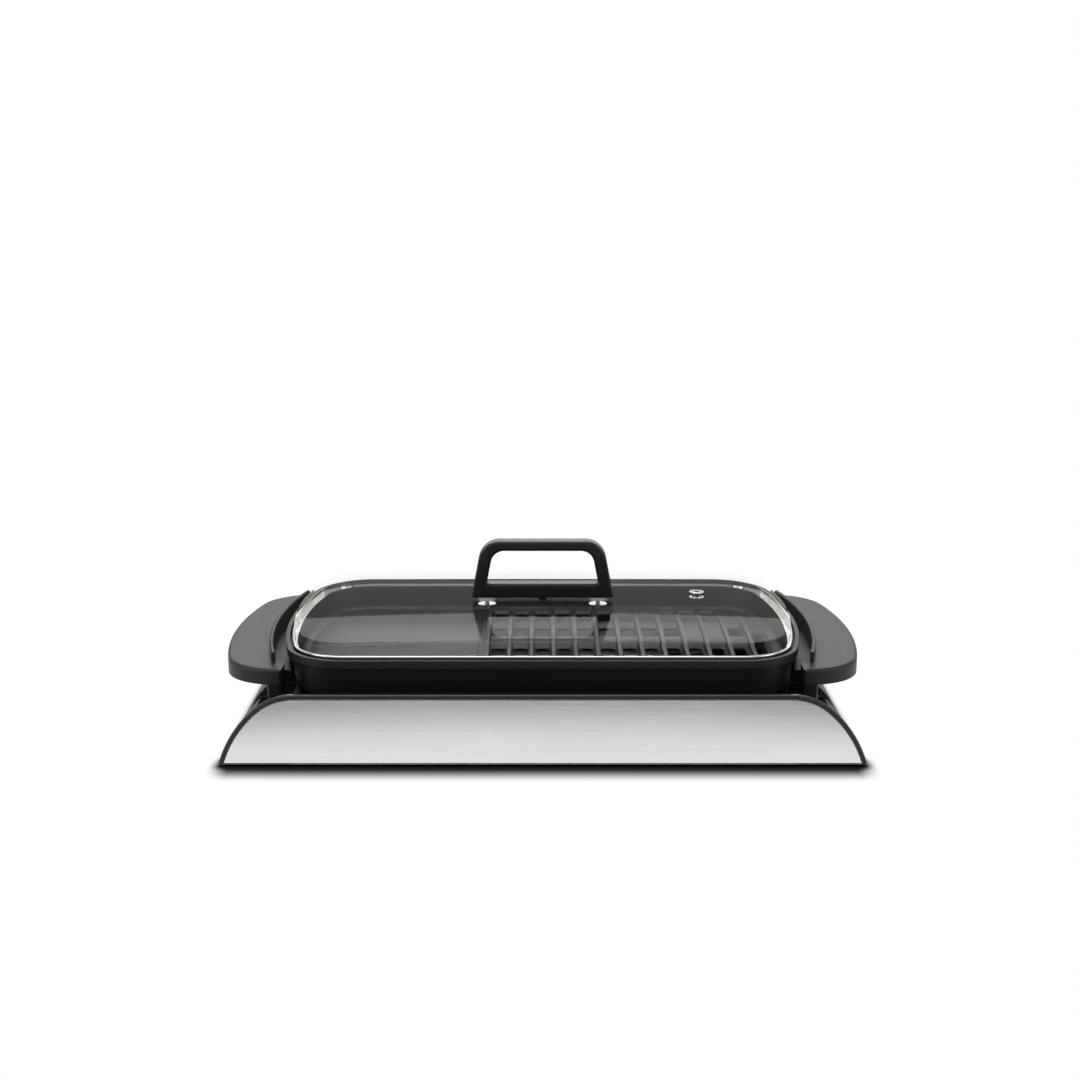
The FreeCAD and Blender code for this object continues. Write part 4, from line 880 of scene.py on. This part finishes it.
class Surface:
    """Skin of one carried-over node, for seating added pieces on it."""

    def __init__(self, node: str) -> None:
        """Read the node's mesh, which already lies in the frame.

        Args:
            node: Name of the CAD node.
        """
        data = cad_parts[node].data
        self.points = [v.co.copy() for v in data.vertices]
        self.faces = [list(p.vertices) for p in data.polygons]
        self.tree = BVHTree.FromPolygons(self.points, self.faces)

    def along(self, start: Point, way: Point) -> Vector:
        """First point of the skin that a straight line meets.

        Args:
            start: Where the line begins.
            way: Its direction.

        Returns:
            The point on the skin.
        """
        hit = self.tree.ray_cast(Vector(start), Vector(way))[0]
        if hit is None:
            raise ValueError(f"nothing met from {start} along {way}")
        return hit

    def islands(self) -> list[list[Vector]]:
        """The node's separate solids, each as the list of its points.

        Returns:
            A list of points for each solid.
        """
        places = [tuple(round(c, SAME_PLACE_DIGITS) for c in p) for p in self.points]
        parent = {place: place for place in places}

        def root(place: Point) -> Point:
            """Place that stands for the whole solid.

            Args:
                place: Place of any point of the solid.

            Returns:
                The solid's own place.
            """
            while parent[place] != place:
                place = parent[place]
            return place

        for face in self.faces:
            roots = [root(places[i]) for i in face]
            for other in roots[1:]:
                parent[other] = roots[0]
        groups: dict[Point, list[Vector]] = {}
        for point, place in zip(self.points, places):
            groups.setdefault(root(place), []).append(point)
        log.info("%d solids found", len(groups))
        return list(groups.values())


def ring_of(mesh: Mesh, center: Vector, radius: float, height: float, steps: int) -> Ring:
    """Level circle of new points.

    Args:
        mesh: Mesh that gets them.
        center: Point on the upright axis.
        radius: Radius of the circle.
        height: Height over the centre.
        steps: Number of points.

    Returns:
        The points in order.
    """
    turns = [2 * math.pi * i / steps for i in range(steps)]
    circle = [Vector((radius * math.cos(a), radius * math.sin(a), height)) for a in turns]
    return [mesh.verts.new(center + point) for point in circle]


def bridge(mesh: Mesh, a: Ring, b: Ring) -> None:
    """Band of faces between two closed rows of points of the same length.

    Args:
        mesh: Mesh that gets the faces.
        a: First row.
        b: Second row.
    """
    count = len(a)
    for i in range(count):
        j = (i + 1) % count
        mesh.faces.new((a[i], a[j], b[j], b[i]))


def loft(mesh: Mesh, rows: list[Ring]) -> None:
    """Skin over closed rows of points, one band from each row to the next."""
    for a, b in zip(rows, rows[1:]):
        bridge(mesh, a, b)


def loop_edges(mesh: Mesh, loop: Ring) -> list[bmesh.types.BMEdge]:
    """Edges round a closed row of points, made where they are missing.

    Args:
        mesh: Mesh that holds the points.
        loop: Points in order.

    Returns:
        The edges in order.
    """
    edges = []
    for a, b in zip(loop, loop[1:] + loop[:1]):
        edges.append(mesh.edges.get((a, b)) or mesh.edges.new((a, b)))
    return edges


def sweep_wire(mesh: Mesh, path: list[Vector], radius: float, flat: Vector, steps: int = 12) -> None:
    """Round wire along a flat bent path, closed at both ends.

    Args:
        mesh: Mesh that gets the wire.
        path: Points along its middle.
        radius: Radius of the wire.
        flat: Normal of the path's plane.
        steps: Points round the wire.
    """
    turns = [2 * math.pi * k / steps for k in range(steps)]
    rows = []
    for i, point in enumerate(path):
        way = (path[min(i + 1, len(path) - 1)] - path[max(i - 1, 0)]).normalized()
        side = way.cross(flat).normalized()
        circle = [(side * math.cos(a) + flat * math.sin(a)) * radius for a in turns]
        rows.append([mesh.verts.new(point + spoke) for spoke in circle])
    loft(mesh, rows)
    for end in (rows[0], rows[-1]):
        mesh.faces.new(end)


@dataclass
class CrossScrews:
    """Pan-head screws with a cross recess and a threaded shank, in place of one node's plain ones."""

    node: str
    steps: int = 32
    head_share: float = 0.9
    flat_share: float = 0.62
    crown: tuple[Span, ...] = ((0.86, 0.12), (0.97, 0.36), (1.0, 0.6), (1.0, 1.0))
    tip_room: float = 0.0002
    tip_share: float = 0.6
    pitch: float = 0.0011
    root_share: float = 0.86
    ridge_share: float = 0.45
    fewest_turns: int = 2
    arm_share: float = 0.5
    arm_half_width: float = 0.13
    taper: float = 0.62
    recess_share: float = 0.7

    def mesh(self) -> Mesh:
        """All screws of the node as one mesh.

        Returns:
            The new mesh.
        """
        mesh = bmesh.new()
        for points in Surface(self.node).islands():
            self.add_screw(mesh, points)
        return mesh

    def add_screw(self, mesh: Mesh, points: list[Vector]) -> None:
        """One screw in the room of a plain one, its head at the lower end.

        Args:
            mesh: Mesh that gets the screw.
            points: Points of the plain screw.
        """
        low, high = min(p.z for p in points), max(p.z for p in points)
        middle = [(min(p[k] for p in points) + max(p[k] for p in points)) / 2 for k in (0, 1)]
        center = Vector((*middle, low))
        reach = [(p - center).xy.length for p in points]
        head = max(reach)
        tall = max(p.z for p, r in zip(points, reach) if r > self.head_share * head) - low
        shank = max(r for p, r in zip(points, reach) if p.z > high - self.tip_room)
        root = shank * self.root_share
        length = high - low - tall
        turns = max(self.fewest_turns, int(length / self.pitch))
        profile = [(head * self.flat_share, 0.0)]
        profile += [(wide * head, deep * tall) for wide, deep in self.crown]
        for i in range(turns):
            height = tall + length * i / turns
            profile += [(root, height), (shank, height + self.pitch * self.ridge_share)]
        profile.append((root * self.tip_share, high - low))
        rows = [ring_of(mesh, center, radius, height, self.steps) for radius, height in profile]
        loft(mesh, rows)
        mesh.faces.new(rows[-1])
        self.add_recess(mesh, center, rows[0], head, tall)

    def add_recess(self, mesh: Mesh, center: Vector, face: Ring, head: float, tall: float) -> None:
        """Tapered cross sunk into the head's flat face.

        Args:
            mesh: Mesh that gets the recess.
            center: Middle of the face.
            face: Circle round the flat face.
            head: Radius of the head.
            tall: Height of the head.
        """
        arm, half = self.arm_share * head, self.arm_half_width * head
        corner = [(arm, -half), (arm, half), (half, half)]
        outline = [(x * c - y * s, x * s + y * c) for c, s in QUARTER_TURNS for x, y in corner]
        mouth = [mesh.verts.new(center + Vector((x, y, 0.0))) for x, y in outline]
        depth = self.recess_share * tall
        floor = [mesh.verts.new(center + Vector((x * self.taper, y * self.taper, depth))) for x, y in outline]
        bridge(mesh, mouth, floor)
        bmesh.ops.triangle_fill(mesh, use_beauty=True, edges=loop_edges(mesh, face) + loop_edges(mesh, mouth))
        bmesh.ops.triangle_fill(mesh, use_beauty=True, edges=loop_edges(mesh, floor))


@dataclass(frozen=True)
class SoftBox:
    """Lit rectangle that shines on the grill."""

    name: str
    place: Point
    width: float
    depth: float
    power: float


@dataclass
class Studio:
    """Floor, white surround, soft lamps and the camera of the photograph."""

    sensor: float = 36.0
    focal_pixels: float = 1614.72
    photo_pixels: float = 1080.0
    eye: Point = (-0.00223, -1.41094, 0.46689)
    tilt_down: float = 12.539
    floor_size: float = 12.0
    floor_drop: float = 0.0002
    floor_color: Color = (0.86, 0.86, 0.86)
    floor_roughness: float = 0.9
    # Where the floor in reflections starts and stops to fade, and what is left of it
    floor_fade: tuple[float, float, float] = (0.25, 0.39, 0.04)
    # Where it starts and stops to brighten again, and by how much
    floor_rise: tuple[float, float, float] = (0.61, 0.8, 0.66)
    floor_squeeze: Point = (0.4, 1.0, 1.0)
    shadow_color: Color = (0.015, 0.015, 0.015)
    # Painted contact shadow: ambient occlusion darkens the floor under and beside the object
    painted_contact_reach: float = 0.009
    painted_contact_power: float = 6.0
    painted_contact_samples: int = 16
    # Painted shadow strip at a fixed place in front of the base
    painted_shadow_front: Span = (-0.201, -0.168)
    painted_shadow_back: Span = (-0.15, -0.14)
    painted_shadow_side: Span = (0.256, 0.276)
    wall_rise: Span = (0.1, 0.6)
    wall_light: Span = (0.95, 0.45)
    front_turn: Span = (-0.25, 0.1)
    front_share: float = 0.85
    aim: Point = (0.0, 0.0, 0.06)
    lamps: tuple[SoftBox, ...] = (
        SoftBox("overhead_box", (-0.15, 0.15, 1.7), 1.8, 1.2, 26.0),
        SoftBox("left_box", (-1.7, -0.9, 1.1), 1.0, 1.0, 13.0),
        SoftBox("right_box", (1.7, -0.8, 1.0), 1.0, 1.0, 9.0),
        SoftBox("back_strip", (0.0, 1.7, 0.9), 1.8, 0.5, 7.0),
    )

    def build(self) -> None:
        """Set up everything round the object."""
        self.add_floor()
        self.add_surround()
        for box in self.lamps:
            self.add_lamp(box)
        self.add_camera()
        bpy.context.scene.view_settings.view_transform = "Standard"

    def add_floor(self) -> None:
        """Large pale floor just under the feet."""
        half = self.floor_size / 2
        corners = ((-half, -half), (half, -half), (half, half), (-half, half))
        mesh = bmesh.new()
        mesh.faces.new([mesh.verts.new((x, y, -self.floor_drop)) for x, y in corners])
        data = bpy.data.meshes.new("floor")
        mesh.to_mesh(data)
        mesh.free()
        data.materials.append(self.floor_paint())
        floor = bpy.data.objects.new("floor", data)
        bpy.context.scene.collection.objects.link(floor)

    def floor_paint(self) -> bpy.types.Material:
        """Paint that is white to the eye, with a painted shadow: dark where the object stands just over it
        and in a strip in front of the base.

        Returns:
            The floor's material.
        """
        paint = bpy.data.materials.new("floor_white")
        paint.use_nodes = True
        sketch = NodeSketch(paint.node_tree)
        shader = paint.node_tree.nodes["Principled BSDF"]
        # Painted shadow: ambient occlusion and a fixed strip darken the floor's colour and turn its white
        # glow off
        near = sketch.add("ShaderNodeAmbientOcclusion", samples=self.painted_contact_samples)
        sketch.fill(near, Distance=self.painted_contact_reach)
        close = sketch.math("POWER", near.outputs["AO"], self.painted_contact_power)
        outside_painted_shadow = sketch.math("MULTIPLY", close, self.painted_front_shadow(sketch))
        sketch.fill(shader, Base_Color=sketch.blend(outside_painted_shadow, self.shadow_color, self.floor_color),
                    Roughness=self.floor_roughness, Specular_IOR_Level=0.0)
        glow = sketch.add("ShaderNodeEmission")
        sketch.fill(glow, Strength=self.floor_glow(sketch))
        shown = sketch.math("MAXIMUM", outside_painted_shadow, self.mirrored(sketch))
        sketch.show(sketch.math("MULTIPLY", self.seen_directly(sketch), shown), shader, glow)
        return paint

    def painted_front_shadow(self, sketch: NodeSketch) -> Socket:
        """Painted shadow: 0 in a soft strip at a fixed place just in front of the base, 1 away from it.

        Args:
            sketch: Tree of the material.

        Returns:
            The shadow's output.
        """
        x, y, _ = sketch.axes(sketch.add("ShaderNodeNewGeometry").outputs["Position"])
        ahead = sketch.span(y, *self.painted_shadow_front)
        behind = sketch.span(y, *self.painted_shadow_back, 1.0, 0.0)
        across = sketch.span(sketch.math("ABSOLUTE", x), *self.painted_shadow_side, 1.0, 0.0)
        # Painted shadow: the strip's darkness from its fixed edges
        dark = sketch.math("MULTIPLY", sketch.math("MULTIPLY", ahead, behind), across)
        clear = sketch.math("SUBTRACT", 1.0, dark, clamp=True)
        return sketch.math("MULTIPLY", clear, clear)

    def floor_glow(self, sketch: NodeSketch) -> Socket:
        """White to the eye and through glass; gloss sees a dark band some way off from the object.

        Args:
            sketch: Tree of the material.

        Returns:
            The strength of the floor's own light.
        """
        place = sketch.add("ShaderNodeNewGeometry").outputs["Position"]
        reach = sketch.add("ShaderNodeVectorMath", operation="LENGTH")
        sketch.feed(reach.inputs[0], sketch.scaled(place, self.floor_squeeze))
        start, end, dim = self.floor_fade
        faded = sketch.span(reach.outputs["Value"], start, end, 1.0, dim)
        start, end, bright = self.floor_rise
        risen = sketch.span(reach.outputs["Value"], start, end, 0.0, bright)
        return sketch.between(self.mirrored(sketch), 1.0, sketch.math("ADD", faded, risen))

    @staticmethod
    def mirrored(sketch: NodeSketch) -> Socket:
        """1 for rays that bounce off gloss, 0 for those that pass through glass and for the rest."""
        path = sketch.add("ShaderNodeLightPath").outputs
        return sketch.math("SUBTRACT", path["Is Glossy Ray"], path["Is Transmission Ray"], clamp=True)

    @staticmethod
    def seen_directly(sketch: NodeSketch) -> Socket:
        """1 for rays from the eye, off gloss or through glass, 0 for the rest.

        Args:
            sketch: Tree of the material.

        Returns:
            The output of the test.
        """
        path = sketch.add("ShaderNodeLightPath").outputs
        shiny = sketch.math("MAXIMUM", path["Is Glossy Ray"], path["Is Transmission Ray"])
        return sketch.math("MAXIMUM", path["Is Camera Ray"], shiny)

    def add_surround(self) -> None:
        """White surround to the eye and through glass; gloss sees walls that dim with height."""
        world = bpy.data.worlds.new("surround")
        bpy.context.scene.world = world
        world.use_nodes = True
        sketch = NodeSketch(world.node_tree)
        _, y, z = sketch.axes(sketch.add("ShaderNodeTexCoord").outputs["Generated"])
        height = sketch.span(z, *self.wall_rise, *self.wall_light)
        front = sketch.span(y, *self.front_turn, self.front_share, 1.0)
        wall = sketch.math("MULTIPLY", height, front)
        path = sketch.add("ShaderNodeLightPath").outputs
        straight = sketch.math("MAXIMUM", path["Is Camera Ray"], path["Is Transmission Ray"])
        sketch.fill(world.node_tree.nodes["Background"], Color=(1.0, 1.0, 1.0, 1.0),
                    Strength=sketch.between(straight, wall, 1.0))

    def add_lamp(self, box: SoftBox) -> None:
        """One soft box aimed at the middle of the grill.

        Args:
            box: Size, place and power of the lamp.
        """
        data = bpy.data.lights.new(box.name, "AREA")
        data.shape = "RECTANGLE"
        data.size, data.size_y, data.energy = box.width, box.depth, box.power
        lamp = bpy.data.objects.new(box.name, data)
        lamp.location = box.place
        lamp.rotation_euler = (Vector(self.aim) - Vector(box.place)).to_track_quat("-Z", "Y").to_euler()
        bpy.context.scene.collection.objects.link(lamp)

    def add_camera(self) -> None:
        """Camera solved from the photograph's base: level roll, pitched down, no shift."""
        data = bpy.data.cameras.new("camera")
        data.sensor_width = self.sensor
        data.lens = self.sensor * self.focal_pixels / self.photo_pixels
        camera = bpy.data.objects.new("camera", data)
        camera.location = self.eye
        camera.rotation_euler = (math.radians(90.0 - self.tilt_down), 0.0, 0.0)
        bpy.context.scene.collection.objects.link(camera)
        bpy.context.scene.camera = camera


@dataclass
class Base(SubAssembly):
    """Arched moulding with its steel front, feet and bracket."""

    body: Body = Body.BASE
    dressed: dict[str, Slot] = field(default_factory=lambda: {
        "base_shell": Slot.BASE_PLASTIC,
        "front_fascia": Slot.FASCIA_STEEL,
        "base_feet": Slot.FOOT_RUBBER,
        "latch_bracket": Slot.BRIGHT_WIRE,
    })
    staple_places: tuple[Span, ...] = ((0.2328, -0.0935), (0.2328, -0.0865))
    staple_half: float = 0.0017
    staple_tall: float = 0.0048
    staple_wire: float = 0.0005
    staple_steps: int = 8
    well_top: float = 0.05

    def build(self) -> None:
        """Two wire staples beside the bail's bracket."""
        floor = Surface("base_shell")
        mesh = bmesh.new()
        for x, y in self.staple_places:
            self.add_staple(mesh, floor.along((x, y, self.well_top), (0.0, 0.0, -1.0)))
        self.add("latch_staples", mesh, Slot.BRIGHT_WIRE, smooth_below=60.0)

    def add_staple(self, mesh: Mesh, foot: Vector) -> None:
        """One arched wire that stands on the well's floor.

        Args:
            mesh: Mesh that gets the wire.
            foot: Middle of its two legs on the floor.
        """
        radius = self.staple_half
        path = [Vector((-radius, 0.0, -self.staple_wire))]
        for i in range(self.staple_steps + 1):
            turn = math.pi * (1 - i / self.staple_steps)
            height = self.staple_tall - radius + radius * math.sin(turn)
            path.append(Vector((radius * math.cos(turn), 0.0, height)))
        path.append(Vector((radius, 0.0, -self.staple_wire)))
        sweep_wire(mesh, [foot + p for p in path], self.staple_wire, Vector(Axis.Y.value))


@dataclass
class Bail(SubAssembly):
    """Wire bail in the right front well."""

    body: Body = Body.BAIL
    dressed: dict[str, Slot] = field(default_factory=lambda: {"latch_bail": Slot.BRIGHT_WIRE})


@dataclass
class DripTray(SubAssembly):
    """Pressed tray under the plate."""

    body: Body = Body.TRAY
    dressed: dict[str, Slot] = field(default_factory=lambda: {"drip_tray": Slot.TRAY_ALUMINIUM})


@dataclass
class CookingPlate(SubAssembly):
    """Cast plate with its handles, heating element and socket."""

    body: Body = Body.PLATE
    dressed: dict[str, Slot] = field(default_factory=lambda: {
        "grill_plate": Slot.PLATE_COATING,
        "left_handle": Slot.HANDLE_PLASTIC,
        "right_handle": Slot.HANDLE_PLASTIC,
        "handle_screws": Slot.SCREW_STEEL,
        "heating_element": Slot.ELEMENT_STEEL,
        "element_straps": Slot.STRAP_STEEL,
        "strap_screws": Slot.SCREW_STEEL,
        "socket_shroud": Slot.SOCKET_PLASTIC,
        "socket_screws": Slot.SCREW_STEEL,
        "terminal_pins": Slot.PIN_METAL,
        "probe_sleeve": Slot.PIN_METAL,
    })
    ledge_span: Span = (-0.096, 0.112)
    ledge_bottom: float = 0.0586
    ledge_top: float = 0.0612
    ledge_soft_share: float = 0.3
    ledge_room: float = 0.0022
    ledge_root: float = 0.0012
    ledge_steps: int = 40
    far_side: float = 0.3

    def build(self) -> None:
        """Ledges that close the gap to the handles, and the screws under the plate."""
        for side, handle in ((-1, "left_handle"), (1, "right_handle")):
            self.add(handle + "_ledge", self.ledge(side, handle), Slot.HANDLE_PLASTIC)
        for node in ("handle_screws", "strap_screws", "socket_screws"):
            self.add("cross_" + node, CrossScrews(node).mesh(), Slot.SCREW_STEEL, instead_of=node)

    def ledge(self, side: int, handle: str) -> Mesh:
        """Moulded ledge along a handle's inner side, reaching almost to the plate's wall.

        Args:
            side: -1 on the left, 1 on the right.
            handle: Node that carries the ledge.

        Returns:
            The ledge's mesh.
        """
        plate, grip = Surface("grill_plate"), Surface(handle)
        mesh = bmesh.new()
        start, end = self.ledge_span
        bottom, top = self.ledge_bottom, self.ledge_top
        middle = (bottom + top) / 2
        soft = (top - bottom) * self.ledge_soft_share
        rows = []
        for i in range(self.ledge_steps + 1):
            y = start + (end - start) * i / self.ledge_steps
            wall = plate.along((side * self.far_side, y, middle), (-side, 0.0, 0.0)).x
            tip = wall + side * self.ledge_room
            back = grip.along((tip, y, middle), (side, 0.0, 0.0)).x + side * self.ledge_root
            shoulder = tip + side * soft
            section = [(tip, bottom + soft), (tip, top - soft), (shoulder, top),
                       (back, top + soft), (back, bottom), (shoulder, bottom)]
            rows.append([mesh.verts.new((x, y, z)) for x, z in section])
        loft(mesh, rows)
        for cap in (rows[0], rows[-1]):
            mesh.faces.new(cap)
        return mesh


@dataclass
class GlassLid(SubAssembly):
    """Domed glass lid with its rim, grip and vent."""

    body: Body = Body.LID
    dressed: dict[str, Slot] = field(default_factory=lambda: {
        "lid_rim": Slot.RIM_STEEL,
        "lid_glass": Slot.LID_GLASS,
        "lid_handle": Slot.GRIP_PLASTIC,
        "lid_handle_seats": Slot.SEAT_SILICONE,
        "lid_screw_washers": Slot.SCREW_STEEL,
        "lid_handle_screws": Slot.SCREW_STEEL,
        "vent_eyelet": Slot.RIM_STEEL,
    })

    def build(self) -> None:
        """Screws that hold the grip from under the glass."""
        screws = CrossScrews("lid_handle_screws").mesh()
        self.add("cross_lid_handle_screws", screws, Slot.SCREW_STEEL, instead_of="lid_handle_screws")


def main() -> None:
    """Build the studio and each sub-assembly in order."""
    logging.basicConfig(level=logging.INFO, format="%(name)s: %(message)s")
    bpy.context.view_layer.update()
    Studio().build()
    for part in (Base(), Bail(), DripTray(), CookingPlate(), GlassLid()):
        part.dress()
        part.build()


if __name__ == "__main__":
    main()
